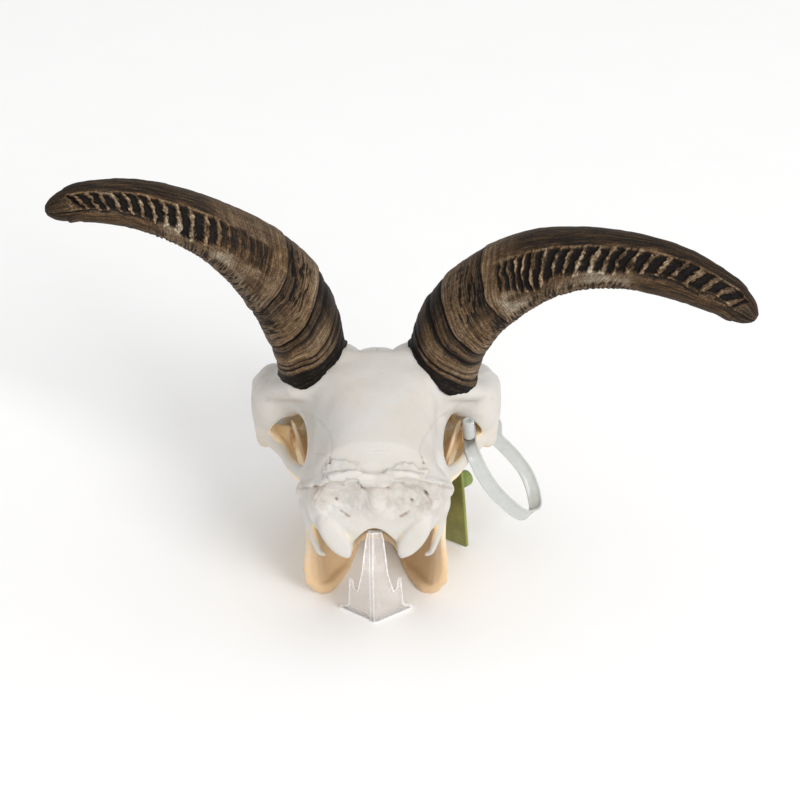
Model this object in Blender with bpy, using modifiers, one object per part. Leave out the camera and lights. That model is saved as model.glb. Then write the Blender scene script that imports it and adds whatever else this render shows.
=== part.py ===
"""Goat skull with lower jaw, horns, clear rear prop, tie loop and hang tag.

Lengths below are millimetres in the skull's own directions: x to the animal's left,
f forward from the rear face of the condyles, z up from the palate plane.
world() turns them into metres with the face toward -Y and the floor at Z = 0.
"""
import math

import bmesh
import bpy
from mathutils import Matrix, Vector

MM = 0.001
LIFT = 44.0             # palate plane above the floor
CENTRE_X = -16.5        # middle of the whole object's width, from the skull's mid plane
CENTRE_F = 110.7        # middle of the whole object's depth
GAP = 0.35              # clearance between touching pieces
HORN_GAP = 0.5          # clearance between the horns and the skull

SKULL_VOXEL = 1.7       # remesh size of the bones
JAW_VOXEL = 1.6
SKULL_FACES = 3000      # triangle budgets
JAW_FACES = 880
HORN_SIDES = 18

# Mid-line core of the cranium. Each section: f, then half-outline points (x, z) from the
# roof down to the base.
CORE = (
    (2.5, ((0, 68), (20, 66), (31, 56), (20, 42), (0, 34))),
    (8, ((0, 75), (22, 71), (35, 57), (30, 34), (0, 16))),
    (17, ((0, 83), (22, 77), (38, 54), (27, 28), (0, 14))),
    (32, ((0, 90), (20, 84), (32, 61), (23, 30), (0, 15))),
    (48, ((0, 96), (22, 90), (32, 65), (19, 32), (0, 18))),
    (63, ((0, 100), (30, 94), (31, 68), (15, 38), (0, 22))),
    (78, ((0, 103), (44, 92), (29, 66), (12, 38), (0, 24))),
    (92, ((0, 94.7), (52, 84), (27, 60), (13, 30), (0, 14))),
    (106, ((0, 86.7), (55, 76), (25, 50), (24, 14), (0, 4))),
    (120, ((0, 79.1), (50, 71), (27, 46), (28, 8), (0, 3))),
    (134, ((0, 71), (34, 66), (38, 42), (29, 6), (0, 2))),
    (149, ((0, 65), (22, 61), (35, 34), (28, 4), (0, 2))),
    (164, ((0, 57), (17, 53), (30, 26), (25, 3), (0, 1))),
    (178, ((0, 50), (14, 46), (22, 23), (18, 2), (0, 0))),
    (192, ((0, 43), (12, 39), (17, 18), (14, 1), (0, 0))),
    (205, ((0, 36), (8, 33.5), (13, 16), (12, 1), (0, 0))),
)
# Lower jaw, left half, as upright slices: f, lower edge (x, z), upper edge (x, z), half
# thickness, and how late the plate turns in toward its lower edge (1 is straight).
JAW = (
    (50.5, (39.0, -20), (36.6, 10), 1.6, 0.9), (53, (37.6, -31.5), (36.2, 22), 2.4, 0.7),
    (58, (32.5, -41), (36.2, 27), 3.2, 0.25), (62, (28.6, -44.6), (36.4, 28.5), 3.9, 0.22),
    (67, (25.6, -45.4), (36.6, 31.5), 3.7, 0.24), (71, (23.8, -45.4), (37.6, 35), 3.3, 0.26),
    (75, (22.0, -45.4), (39.2, 39.5), 3.0, 0.28), (79, (20.4, -45.4), (41.4, 44.5), 2.7, 0.31),
    (83, (18.6, -45.4), (43.6, 50), 2.3, 0.35), (86, (17.4, -45.4), (45.2, 54.5), 2.1, 0.38),
    (90, (16.7, -45.4), (46.4, 54.6), 2.2, 0.45), (94, (16.2, -45.3), (45.0, 42), 2.6, 0.55),
    (97, (15.9, -45.2), (42.6, 26), 3.1, 0.64), (100, (15.6, -45.1), (39.5, 8), 3.8, 0.75),
    (104, (15.3, -44.9), (33.5, -9.5), 4.4, 0.9),
    (111, (15.0, -44.4), (27.6, -12.5), 5.2, 1), (126, (14.2, -42.4), (24.8, -15.5), 5.6, 1),
    (142, (13.2, -39.4), (22.6, -16.5), 5.2, 1), (156, (12, -35.6), (20, -17), 4.8, 1),
    (167, (10, -32), (15.4, -17), 4.4, 1), (178, (6.6, -28), (9.6, -16), 4.6, 1),
    (190, (4.4, -23), (6.6, -12.6), 4.8, 1), (202, (3.9, -16.5), (5.2, -7.4), 4.8, 1),
    (211, (3.9, -11), (5.2, -4), 3.8, 1),
)
# Horn axes: x, f, z, half width across, half depth front to back.
HORN_LEFT = (
    (30.3, 88, 77.4, 17.5, 25), (33.3, 87.5, 89.4, 18.3, 26),
    (39, 85, 116.6, 20.3, 25.5), (49.6, 80, 142.3, 20.7, 23.5),
    (65.1, 72, 164.3, 18.4, 21), (82.9, 62.5, 182.4, 15.2, 18.4),
    (102.3, 53, 196.2, 13.6, 15.8), (122.4, 44, 206.2, 12, 13.4),
    (143.2, 36.5, 210.1, 10.1, 11), (151.8, 34, 208.8, 8.5, 8.9),
    (158.2, 32.2, 207.9, 6.1, 6.4), (161.8, 31.2, 207.3, 2.8, 3.2),
)
HORN_RIGHT = (
    (-32.4, 88, 74.9, 17.5, 25), (-35.4, 87.5, 86.9, 19.4, 26),
    (-43.8, 85, 116, 20.8, 25.5), (-61.1, 80, 139, 20.7, 23.5),
    (-82.9, 72, 156.5, 19.3, 21), (-106.6, 62.5, 166.1, 16.3, 18.4),
    (-130.7, 53, 169.3, 14.9, 15.8), (-154, 44, 167.1, 14, 13.4),
    (-176.1, 36.5, 159.3, 11.4, 11), (-184.4, 34, 153.7, 9.6, 8.9),
    (-190.5, 32.2, 149.6, 6.9, 6.4), (-194, 31.2, 147.3, 3.2, 3.2),
)
# Prop: fold line (z, f), how fast its wings run forward (z, slope), and its outline (x, z).
PROP_SPINE = ((-44, 33.5), (12, 0.5), (31.5, 8.5))
PROP_FOLD = ((-44, 0.74), (-10, 0.62), (10, 0.25), (32, 0.15))
PROP_OUTLINE = (
    (20.0, -44), (15.6, -35.0), (14.0, -2.4), (12.0, -2.4), (11.6, -16.0), (9.8, -16.0),
    (8.4, -3.0), (7.2, 8.0), (6.0, 19.0), (4.2, 30.5), (2.4, 31.8),
)
PROP_THICK = 2.2
# Tie loop round the right orbit bar: x, f, z along the band's middle.
TIE_WIDTH = 8.0
TIE_THICK = 1.4
TIE_PATH = (
    (-52.0, 81.5, 46.4), (-51.9, 76, 46.2), (-52.4, 71.6, 45.4), (-54.8, 68.2, 40.6),
    (-58.7, 68.0, 31.7), (-63.8, 70.5, 21.3), (-69.6, 75, 11.2), (-77.1, 82.5, -0.9),
    (-83.3, 91, -10.5), (-88.4, 98.5, -14.4), (-91.1, 104.5, -13.8), (-90.8, 110, -10.5),
    (-89.3, 114, -5.4), (-85.6, 117.5, 2.2), (-79.2, 119, 11.0), (-73.1, 118.4, 18.6),
    (-68.2, 116.2, 25.9), (-67.3, 113.3, 35.8), (-62.8, 110.9, 43.2), (-56.9, 107.5, 47.3),
    (-52.6, 99.5, 48.2), (-51.8, 90, 47.2),
)
TIE_AXIS = (-0.78, 0.30, 0.55)
HEAD_AT = (-50.9, 75.5, 55.4)
HEAD_TILT = 8.0
HEAD_RADIUS = 3.2
HEAD_LENGTH = 13.0
# Tag: lower rear corner, directions of its width, size (width, height, thickness), lean.
TAG_CORNER = (-53.0, 103.6, -41.1)
TAG_TURN = 44.0
TAG_SIZE = (20.0, 49.5, 1.8)
TAG_LEAN = 6.6
KNOB_DROP = 8.4         # below the tag's top edge
KNOB_RADIUS = 4.7
KNOB_LENGTH = 8.0


def world(x, f, z):
    """Skull millimetres to world metres."""
    return Vector(((x - CENTRE_X) * MM, (CENTRE_F - f) * MM, (z + LIFT) * MM))


def clear_scene():
    for obj in list(bpy.data.objects):
        bpy.data.objects.remove(obj, do_unlink=True)


def collection(name):
    made = bpy.data.collections.new(name)
    bpy.context.scene.collection.children.link(made)
    return made


def material(name, colour, roughness, metallic=0.0, transmission=0.0):
    made = bpy.data.materials.new(name)
    made.use_nodes = True
    shader = made.node_tree.nodes["Principled BSDF"]
    shader.inputs["Base Color"].default_value = (*colour, 1.0)
    shader.inputs["Roughness"].default_value = roughness
    shader.inputs["Metallic"].default_value = metallic
    shader.inputs["Transmission Weight"].default_value = transmission
    made.diffuse_color = (*colour, 1.0)
    return made


def mesh_object(name, mesh, group):
    obj = bpy.data.objects.new(name, mesh)
    group.objects.link(obj)
    return obj


def from_bmesh(bm, name, group):
    bmesh.ops.recalc_face_normals(bm, faces=bm.faces)
    mesh = bpy.data.meshes.new(name)
    bm.to_mesh(mesh)
    bm.free()
    return mesh_object(name, mesh, group)


def lerp_table(table, at):
    """Value of a sorted (key, value) table at one key."""
    if at <= table[0][0]:
        return table[0][1]
    for (k0, v0), (k1, v1) in zip(table, table[1:]):
        if at <= k1:
            return v0 + (v1 - v0) * (at - k0) / (k1 - k0)
    return table[-1][1]


def spline(points, steps, closed=False):
    """Catmull-Rom curve through tuples of any length."""
    count = len(points)
    spans = count if closed else count - 1
    out = []
    for span in range(spans):
        ids = [span - 1, span, span + 1, span + 2]
        if closed:
            p = [points[i % count] for i in ids]
        else:
            p = [points[min(max(i, 0), count - 1)] for i in ids]
        for step in range(steps):
            t = step / steps
            out.append(tuple(
                0.5 * (2 * b + (c - a) * t + (2 * a - 5 * b + 4 * c - d) * t * t
                       + (3 * b - a - 3 * c + d) * t ** 3)
                for a, b, c, d in zip(*p)))
    if not closed:
        out.append(tuple(points[-1]))
    return out


def loft(rings, name, group, closed=False):
    """Skin between rings of equal count; the end rings are capped unless it is closed."""
    bm = bmesh.new()
    rows = [[bm.verts.new(p) for p in ring] for ring in rings]
    pairs = list(zip(rows, rows[1:]))
    if closed:
        pairs.append((rows[-1], rows[0]))
    for low, high in pairs:
        for i in range(len(low)):
            j = (i + 1) % len(low)
            bm.faces.new((low[i], low[j], high[j], high[i]))
    if not closed:
        bm.faces.new(list(reversed(rows[0])))
        bm.faces.new(rows[-1])
    return from_bmesh(bm, name, group)


def blob(at, radii, group, turn=(0, 0, 0), name="blob"):
    """Ellipsoid from a UV sphere; turn is degrees about x, f and z."""
    bm = bmesh.new()
    bmesh.ops.create_uvsphere(bm, u_segments=24, v_segments=14, radius=1.0)
    spin = (Matrix.Rotation(math.radians(turn[0]), 4, "X")
            @ Matrix.Rotation(math.radians(turn[1]), 4, "Y")
            @ Matrix.Rotation(math.radians(turn[2]), 4, "Z"))
    size = Matrix.Diagonal((radii[0] * MM, radii[1] * MM, radii[2] * MM, 1.0))
    bmesh.ops.transform(bm, matrix=Matrix.Translation(world(*at)) @ spin @ size, verts=bm.verts)
    return from_bmesh(bm, name, group)


def rod(stations, group, up=(0, 0, 1), sides=14, steps=4, name="rod"):
    """Tapered oval tube through (x, f, z, half width, half height) stations."""
    path = spline(stations, steps)
    mids = [world(*p[:3]) for p in path]
    rings = []
    for i, p in enumerate(path):
        along = (mids[min(i + 1, len(path) - 1)] - mids[max(i - 1, 0)]).normalized()
        across = along.cross(Vector(up)).normalized()
        over = across.cross(along).normalized()
        ring = []
        for k in range(sides):
            a = math.tau * k / sides
            ring.append(mids[i] + across * (math.cos(a) * p[3] * MM)
                        + over * (math.sin(a) * p[4] * MM))
        rings.append(ring)
    return loft(rings, name, group)


def both(make):
    """Run a maker for the left and the right side."""
    return [make(1.0), make(-1.0)]


def core_part(group):
    rings = []
    for f, half in CORE:
        half = [(float(x), float(z)) for x, z in half]
        mirrored = [(-x, z) for x, z in reversed(half[1:-1])]
        outline = spline(half + mirrored, 4, closed=True)
        rings.append([world(x, f, z) for x, z in outline])
    return loft(rings, "core", group)


def occiput_parts(group):
    parts = [rod(((-36.5, 17, 51, 3, 4), (-32, 10, 60, 3, 4), (-21, 4.5, 68, 2.6, 3.6),
                  (-9, 1.5, 71, 2.6, 3.4), (0, 2.5, 69, 2.6, 3.6), (9, 1.5, 71, 2.6, 3.4),
                  (21, 4.5, 68, 2.6, 3.6), (32, 10, 60, 3, 4), (36.5, 17, 51, 3, 4)), group)]
    for s in (1.0, -1.0):
        parts.append(blob((s * 20.5, 8.5, 34), (8.0, 9.5, 14.5), group, (8, s * 32, 0)))
        parts.append(rod(((s * 18.6, 5.6, 34.5, 3.6, 4.6), (s * 15.8, 5.0, 27.5, 3.2, 4.6),
                          (s * 14.6, 6.2, 20.8, 2.6, 3.2)), group, up=(0, 1, 0)))
        parts.append(rod(((s * 35, 17, 44, 4.5, 5), (s * 33.5, 18, 30, 3, 4.5),
                          (s * 31.5, 20, 19, 2, 3.4), (s * 29, 21, 11, 1.2, 1.8)), group,
                         up=(0, 1, 0)))
        parts.append(blob((s * 23, 45, 17), (7.5, 13, 12), group))
        parts.append(rod(((s * 24, 40, 30, 5, 5), (s * 38, 39, 40, 4.4, 4.4)), group, up=(0, 1, 0)))
        parts.append(blob((s * 33.5, 22, 48), (7, 10, 14), group))
        parts.append(blob((s * 34.5, 58, 36.8), (7.4, 6.5, 4.6), group))
    return parts


def face_parts(group):
    parts = []
    for s in (1.0, -1.0):
        # vault of the orbit, hollowed by the cutters into the rim, roof and rear bar
        parts.append(blob((s * 55.5, 104.5, 56.5), (14.2, 19.5, 22.0), group, (0, s * 6, 0)))
        parts.append(rod(((s * 40, 72, 84, 9, 7), (s * 49, 86, 76, 11, 7),
                          (s * 57, 98, 68, 9, 6)), group))
        parts.append(rod(((s * 54, 122, 64, 6, 5), (s * 49.6, 129, 56, 6, 5),
                          (s * 46.6, 131, 43, 6.6, 5.5), (s * 48.6, 127, 30, 6, 5.5)), group,
                         up=(0, 1, 0)))
        # cheek bone
        parts.append(rod(((s * 31, 150, 20, 6, 9), (s * 40.5, 140, 24.8, 6.5, 9),
                          (s * 49.4, 127, 27, 6, 7), (s * 58, 112, 31.4, 5.2, 6.2),
                          (s * 62, 102, 36, 4.8, 7)), group))
        parts.append(blob((s * 35, 114, 26), (9.5, 18, 10), group))
        # bone swelling under each horn, and the ridge that runs from it down the forehead
        parts.append(rod(((s * 20, 79, 95.0, 9, 7), (s * 19.5, 86, 94.6, 9, 7),
                          (s * 19, 92, 92.4, 9, 7), (s * 19, 100, 88.2, 9, 7),
                          (s * 19.5, 108, 83.4, 9, 7), (s * 20.5, 118, 76.6, 9, 7),
                          (s * 22, 130, 67, 9, 7)), group))
        parts.append(blob((s * 34, 87, 90), (17, 24.5, 13), group, (0, s * -8, 0)))
        # wing plates behind the palate
        parts.append(rod(((s * 12, 82, 26, 1.6, 8), (s * 11, 89, 14, 1.5, 7),
                          (s * 11, 94, 4, 1.4, 5)), group, up=(0, 1, 0)))
        # grinding teeth, joined to the upper jaw
        parts.append(rod(((s * 24.6, 104, 0, 4.6, 8.4), (s * 25.6, 114, -0.6, 5.4, 8.4),
                          (s * 25.2, 132, -0.8, 5.4, 8.2), (s * 23.6, 150, -0.6, 5.0, 8),
                          (s * 22, 165, 0, 4.2, 7.6)), group))
        # toothless front bones
        parts.append(rod(((s * 15, 172, 12, 3.6, 9), (s * 14, 188, 9, 3.2, 7.5),
                          (s * 12.4, 202, 5.4, 3.2, 5), (s * 10.4, 213, 3, 3.6, 3.0),
                          (s * 6.4, 221, 1.6, 3.6, 1.8)), group))
    return parts


def arch_parts(group):
    """What bounds the temporal fossa; it joins the skull after the fossa is cut."""
    parts = []
    for s in (1.0, -1.0):
        # arch back to the ear region, its shelf, the cheek bone's inner wall, the rear bar
        parts.append(rod(((s * 62.4, 106, 34.4, 4.6, 5.4), (s * 62.6, 100, 39, 4.6, 7.4),
                          (s * 57.8, 94, 39.2, 4.0, 5.6), (s * 54.0, 87, 38.8, 3.4, 4.8),
                          (s * 50.6, 80, 38.4, 3.2, 3.9), (s * 48.8, 73, 38.6, 3.2, 3.8),
                          (s * 46.4, 65, 39.4, 3.2, 3.9), (s * 42.6, 57, 40.2, 3.4, 4.6),
                          (s * 38.2, 49, 42.4, 4, 5.4), (s * 32, 41, 46, 7, 7)), group))
        parts.append(rod(((s * 53.6, 93, 36.2, 6.2, 2.3), (s * 50.0, 84, 36.0, 4.5, 2.2),
                          (s * 47.2, 75, 36.4, 3.5, 2.2), (s * 45.2, 67, 37.2, 2.4, 2.2)),
                         group, up=(s * 0.25, 0, 0.97)))
        parts.append(rod(((s * 60, 101, 38.5, 2.6, 6.2), (s * 54, 95.5, 39.4, 2.4, 5.8),
                          (s * 49.4, 91, 40.6, 2.0, 5.2)), group, up=(0, 0.5, 0.87)))
        parts.append(rod(((s * 62, 99, 60, 5, 6), (s * 63.4, 99, 52, 4.6, 5),
                          (s * 63.2, 99, 44, 4.4, 5)), group, up=(0, 1, 0)))
        # front wall of the orbit
        parts.append(rod(((s * 39.5, 131.0, 60, 4.5, 2.6), (s * 40.5, 131.8, 52, 5.5, 2.6),
                          (s * 40.5, 131.8, 43, 5.5, 2.6), (s * 40.5, 133.0, 35, 5, 3)),
                         group, up=(0, 1, 0)))
        # ledge over the fossa, and the rear root of the orbit's roof
        parts.append(rod(((s * 40, 90, 69, 8, 7.5), (s * 35.5, 84, 66, 8, 7.5),
                          (s * 31, 75, 62, 8, 7.5), (s * 28.6, 62, 58, 7.6, 7.5),
                          (s * 28.4, 46, 54, 7.6, 7.5)), group))
        parts.append(rod(((s * 38, 89, 68, 8, 8), (s * 44, 92, 66, 8, 8.2),
                          (s * 50, 95, 63.5, 7, 8), (s * 57, 97, 62.0, 6, 8)), group))
    return parts


def skull_cutters(group):
    cut = [blob((0, 4, 17.8), (11.6, 23, 20.0), group, name="cut_foramen"),
           blob((0, 4, 24.5), (11.4, 23, 7.2), group, name="cut_foramen_sides"),
           blob((0, 214, 20), (17, 30, 9.5), group, (-22, 0, 0), name="cut_nose"),
           blob((0, 206, 20), (10, 36, 13), group, (-20, 0, 0), name="cut_nostril"),
           blob((0, 138, -4), (17, 46, 8), group, name="cut_palate")]
    for s in (1.0, -1.0):
        cut.append(blob((s * 60, 114.5, 51), (24, 15.8, 15.4), group, (0, 0, s * -14),
                        name="cut_orbit"))
        cut.append(rod(((s * 51.5, 104, 46, 7.5, 7.5), (s * 50, 95, 45.6, 8.4, 8.6),
                        (s * 48.0, 88, 46, 9.8, 10.5), (s * 43.2, 79, 43.6, 9.4, 12),
                        (s * 40.6, 69, 42, 7, 11), (s * 39.6, 60, 43, 5, 9),
                        (s * 39, 53, 45, 3.4, 5)), group, name="cut_fossa"))
    return cut


def evaluated_copy(obj, name, group):
    """A plain mesh object of what the modifiers give."""
    graph = bpy.context.evaluated_depsgraph_get()
    mesh = bpy.data.meshes.new_from_object(obj.evaluated_get(graph))
    mesh.name = name
    made = mesh_object(name, mesh, group)
    made.matrix_world = obj.matrix_world.copy()
    return made


def joined(parts, name, group):
    """One object holding all the parts' faces."""
    bm = bmesh.new()
    for part in parts:
        bm.from_mesh(part.data)
        bpy.data.objects.remove(part, do_unlink=True)
    mesh = bpy.data.meshes.new(name)
    bm.to_mesh(mesh)
    bm.free()
    return mesh_object(name, mesh, group)


def add_remesh(obj, size):
    mod = obj.modifiers.new("skin", "REMESH")
    mod.mode = "VOXEL"
    mod.voxel_size = size * MM


def add_smooth(obj, times, factor=0.5):
    mod = obj.modifiers.new("soften", "SMOOTH")
    mod.iterations = times
    mod.factor = factor


def add_cut(obj, cutter, operation="DIFFERENCE"):
    mod = obj.modifiers.new("cut", "BOOLEAN")
    mod.operation = operation
    mod.solver = "EXACT"
    mod.object = cutter
    cutter.hide_render = True
    cutter.display_type = "WIRE"


def add_budget(obj, faces):
    """Collapse to about a number of triangles."""
    graph = bpy.context.evaluated_depsgraph_get()
    mesh = obj.evaluated_get(graph).to_mesh()
    now = sum(len(p.vertices) - 2 for p in mesh.polygons)
    obj.evaluated_get(graph).to_mesh_clear()
    mod = obj.modifiers.new("budget", "DECIMATE")
    mod.ratio = min(1.0, faces / now)
    mod.use_collapse_triangulate = True


def finish_node(obj, name, group, skin):
    """Bake an object into its node and give it its material."""
    node = evaluated_copy(obj, name, group)
    bpy.data.objects.remove(obj, do_unlink=True)
    node.data.materials.clear()
    node.data.materials.append(skin)
    node.data.shade_smooth()
    node.data.set_sharp_from_angle(angle=math.radians(40))
    return node


def keep_largest(obj):
    """Drop loose crumbs a cut may leave."""
    bm = bmesh.new()
    bm.from_mesh(obj.data)
    left = set(bm.faces)
    groups = []
    while left:
        seed = left.pop()
        found = [seed]
        stack = [seed]
        while stack:
            for edge in stack.pop().edges:
                for face in edge.link_faces:
                    if face in left:
                        left.remove(face)
                        found.append(face)
                        stack.append(face)
        groups.append(found)
    groups.sort(key=len, reverse=True)
    for extra in groups[1:]:
        bmesh.ops.delete(bm, geom=extra, context="FACES")
    bm.to_mesh(obj.data)
    bm.free()


def make_cranium(parts_group, cut_group, skin):
    shapes = [core_part(cut_group)] + occiput_parts(cut_group) + face_parts(cut_group)
    whole = joined(shapes, "cranium_form", cut_group)
    add_remesh(whole, SKULL_VOXEL)
    for cutter in skull_cutters(cut_group):
        add_cut(whole, cutter)
    carved = evaluated_copy(whole, "cranium_carved", cut_group)
    bpy.data.objects.remove(whole, do_unlink=True)
    whole = joined([carved] + arch_parts(cut_group), "cranium_whole", cut_group)
    add_remesh(whole, SKULL_VOXEL)
    add_smooth(whole, 3)
    add_budget(whole, SKULL_FACES)
    node = finish_node(whole, "cranium", parts_group, skin)
    keep_largest(node)
    return node


def jaw_form(side, cut_group):
    rings = []
    for f, low, high, half, bend in JAW:
        ring = []
        dx = high[0] - low[0]
        dz = high[1] - low[1]
        for k in range(24):
            a = math.tau * k / 24
            along = 0.5 - 0.5 * math.copysign(abs(math.cos(a)) ** 0.75, math.cos(a))
            late = max(along, 0.015)
            slope = dx * bend * late ** (bend - 1.0)
            length = math.hypot(slope, dz)
            top = min(1.0, max(0.0, (low[1] + dz * along - 12.0) / 20.0)) if f < 96 else 0.0
            thin = max(half * (1 - 0.42 * top), 1.7)
            out = math.copysign(abs(math.sin(a)) ** 0.8, math.sin(a)) * thin
            ring.append(world(side * (low[0] + dx * along ** bend + dz / length * out), f,
                              low[1] + dz * along - slope / length * out))
        rings.append(ring)
    return loft(rings, "jaw_form", cut_group)


def make_jaw(side, name, parts_group, cut_group, skin):
    shapes = [jaw_form(side, cut_group)]
    shapes.append(rod(((side * 30.0, 60, 27, 3.6, 2.8), (side * 35.4, 58.5, 28, 4.4, 3.2),
                       (side * 40.4, 58, 27, 3.0, 2.6)), cut_group, up=(0, 0, 1)))
    shapes.append(rod(((side * 24.6, 101, -12, 3.6, 5), (side * 24.4, 113, -15.5, 4.6, 5.2),
                       (side * 22.8, 133, -15.6, 4.4, 5), (side * 20.6, 150, -15.4, 3.8, 5),
                       (side * 18.6, 162, -15, 3, 4.6)), cut_group))
    shapes.append(rod(((side * 4.4, 204, -9.6, 4.2, 3.0), (side * 5.2, 211, -5.8, 5.2, 2.4),
                       (side * 6.0, 218, -2.6, 6.0, 1.5)), cut_group, up=(0, 0, 1)))
    whole = joined(shapes, name + "_form", cut_group)
    add_remesh(whole, JAW_VOXEL)
    add_smooth(whole, 2, 0.4)
    add_budget(whole, JAW_FACES)
    bpy.ops.mesh.primitive_cube_add(size=1.0)
    mid = bpy.context.object
    mid.name = "cut_middle"
    mid.scale = (0.06, 0.4, 0.3)
    mid.location = world(-side * (30 - GAP / 2), 120, 0)
    move_to(mid, cut_group)
    add_cut(whole, mid)
    bpy.ops.mesh.primitive_cube_add(size=1.0)
    floor = bpy.context.object
    floor.name = "cut_floor"
    floor.scale = (0.5, 0.5, 0.04)
    floor.location = world(0, 120, -LIFT - 20)
    move_to(floor, cut_group)
    add_cut(whole, floor)
    node = finish_node(whole, name, parts_group, skin)
    keep_largest(node)
    return node


def move_to(obj, group):
    for old in list(obj.users_collection):
        old.objects.unlink(obj)
    group.objects.link(obj)


def horn_rings(axis):
    """Oval rings with a keel on the leading edge, along the horn's curve."""
    path = spline(axis, 4)
    mids = [world(*p[:3]) for p in path]
    rings = []
    for i, p in enumerate(path):
        along = (mids[min(i + 1, len(path) - 1)] - mids[max(i - 1, 0)]).normalized()
        if i < 5:
            along = (along + Vector((0, -0.30, 0)) * (1 - i / 5)).normalized()
        across = along.cross(Vector((0, -1, 0))).normalized()
        front = across.cross(along).normalized()
        if front.y > 0:
            front = -front
        ring = []
        for k in range(HORN_SIDES):
            a = math.tau * k / HORN_SIDES
            c, s = math.cos(a), math.sin(a)
            keel = 1.0 + 0.10 * max(s, 0.0) ** 3
            wide = math.copysign(abs(c) ** 0.92, c) * (1.0 - 0.16 * max(s, 0.0) ** 2)
            ring.append(mids[i] + across * (wide * p[3] * MM) + front * (s * keel * p[4] * MM))
        rings.append(ring)
    return rings


def make_horn(axis, name, cranium, parts_group, cut_group, skin):
    form = loft(horn_rings(axis), name + "_form", cut_group)
    shell = evaluated_copy(cranium, "cut_" + name, cut_group)
    grow = shell.modifiers.new("clearance", "DISPLACE")
    grow.strength = HORN_GAP * MM
    grow.mid_level = 0.0
    add_cut(form, shell)
    node = finish_node(form, name, parts_group, skin)
    keep_largest(node)
    return node


def make_prop(parts_group, cut_group, skin):
    """A sheet folded along its spine, trimmed to its outline."""
    rings = []
    for z in (-44, -36, -27, -18, -9, 0, 8, 12, 17, 24, 31.8):
        spine = lerp_table(PROP_SPINE, z)
        fold = lerp_table(PROP_FOLD, z)
        wing = 26.0
        back = [(-wing, spine + fold * wing), (0, spine), (wing, spine + fold * wing)]
        thick = PROP_THICK
        front = [(x, f + thick * (1.25 if x == 0 else 1.0)) for x, f in reversed(back)]
        rings.append([world(x, f, z) for x, f in back + front])
    sheet = loft(rings, "prop_form", cut_group)
    right = [(x, z) for x, z in PROP_OUTLINE]
    outline = right + [(-x, z) for x, z in reversed(right)]
    bm = bmesh.new()
    near = [bm.verts.new(world(x, -20, z if z > -43.9 else -46)) for x, z in outline]
    far = [bm.verts.new(world(x, 70, z if z > -43.9 else -46)) for x, z in outline]
    for i in range(len(near)):
        j = (i + 1) % len(near)
        bm.faces.new((near[i], near[j], far[j], far[i]))
    bm.faces.new(near)
    bm.faces.new(far)
    trim = from_bmesh(bm, "trim_prop", cut_group)
    add_cut(sheet, trim, "INTERSECT")
    node = finish_node(sheet, "clear_prop", parts_group, skin)
    keep_largest(node)
    return node


def make_tie(parts_group, cut_group, skin):
    path = spline(TIE_PATH, 2, closed=True)
    mids = [world(*p) for p in path]
    axis = Vector((TIE_AXIS[0], -TIE_AXIS[1], TIE_AXIS[2]))
    rings = []
    for i in range(len(mids)):
        along = (mids[(i + 1) % len(mids)] - mids[i - 1]).normalized()
        wide = (axis - along * axis.dot(along)).normalized()
        thin = along.cross(wide).normalized()
        w = wide * (TIE_WIDTH / 2 * MM)
        t = thin * (TIE_THICK / 2 * MM)
        rings.append([mids[i] + w * a + t * b for a, b in
                      ((1, -0.4), (1, 0.4), (0.88, 1), (-0.88, 1), (-1, 0.4), (-1, -0.4),
                       (-0.88, -1), (0.88, -1))])
    form = loft(rings, "tie_form", cut_group, closed=True)
    return finish_node(form, "tie_strap", parts_group, skin)


def make_head(parts_group, skin):
    bpy.ops.mesh.primitive_cylinder_add(vertices=24, radius=HEAD_RADIUS * MM,
                                        depth=HEAD_LENGTH * MM, location=world(*HEAD_AT))
    head = bpy.context.object
    head.name = "tie_head"
    head.rotation_euler = (math.radians(-HEAD_TILT), math.radians(HEAD_TILT / 2), 0)
    edge = head.modifiers.new("edge", "BEVEL")
    edge.width = 0.8 * MM
    edge.segments = 2
    edge.limit_method = "ANGLE"
    move_to(head, parts_group)
    head.data.materials.append(skin)
    return head


def make_tag(parts_group, skin, knob_skin):
    """Flat tag turned out from the jaw, with a round stud on its outer face."""
    turn = Matrix.Rotation(-math.radians(TAG_TURN), 4, "Z")
    lean = Matrix.Rotation(math.radians(TAG_LEAN), 4, "Y")
    frame = Matrix.Translation(world(*TAG_CORNER)) @ turn @ lean
    width, height, thick = (size * MM for size in TAG_SIZE)
    bpy.ops.mesh.primitive_cube_add(size=1.0)
    tag = bpy.context.object
    tag.name = "tag_plate"
    tag.scale = (width, thick, height)
    bpy.ops.object.transform_apply(location=False, rotation=False, scale=True)
    tag.matrix_world = frame @ Matrix.Translation((width / 2, 0, height / 2))
    edge = tag.modifiers.new("edge", "BEVEL")
    edge.width = 0.4 * MM
    edge.segments = 1
    move_to(tag, parts_group)
    tag.data.materials.append(skin)
    reach = (thick + KNOB_LENGTH * MM) / 2 + GAP * MM
    bpy.ops.mesh.primitive_cylinder_add(vertices=24, radius=KNOB_RADIUS * MM,
                                        depth=KNOB_LENGTH * MM)
    knob = bpy.context.object
    knob.name = "tag_knob"
    knob.matrix_world = (frame @ Matrix.Translation((KNOB_RADIUS * MM, -reach,
                                                     height - KNOB_DROP * MM))
                         @ Matrix.Rotation(math.radians(90), 4, "X"))
    edge = knob.modifiers.new("edge", "BEVEL")
    edge.width = 1.0 * MM
    edge.segments = 2
    edge.limit_method = "ANGLE"
    move_to(knob, parts_group)
    knob.data.materials.append(knob_skin)
    return tag, knob


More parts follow.
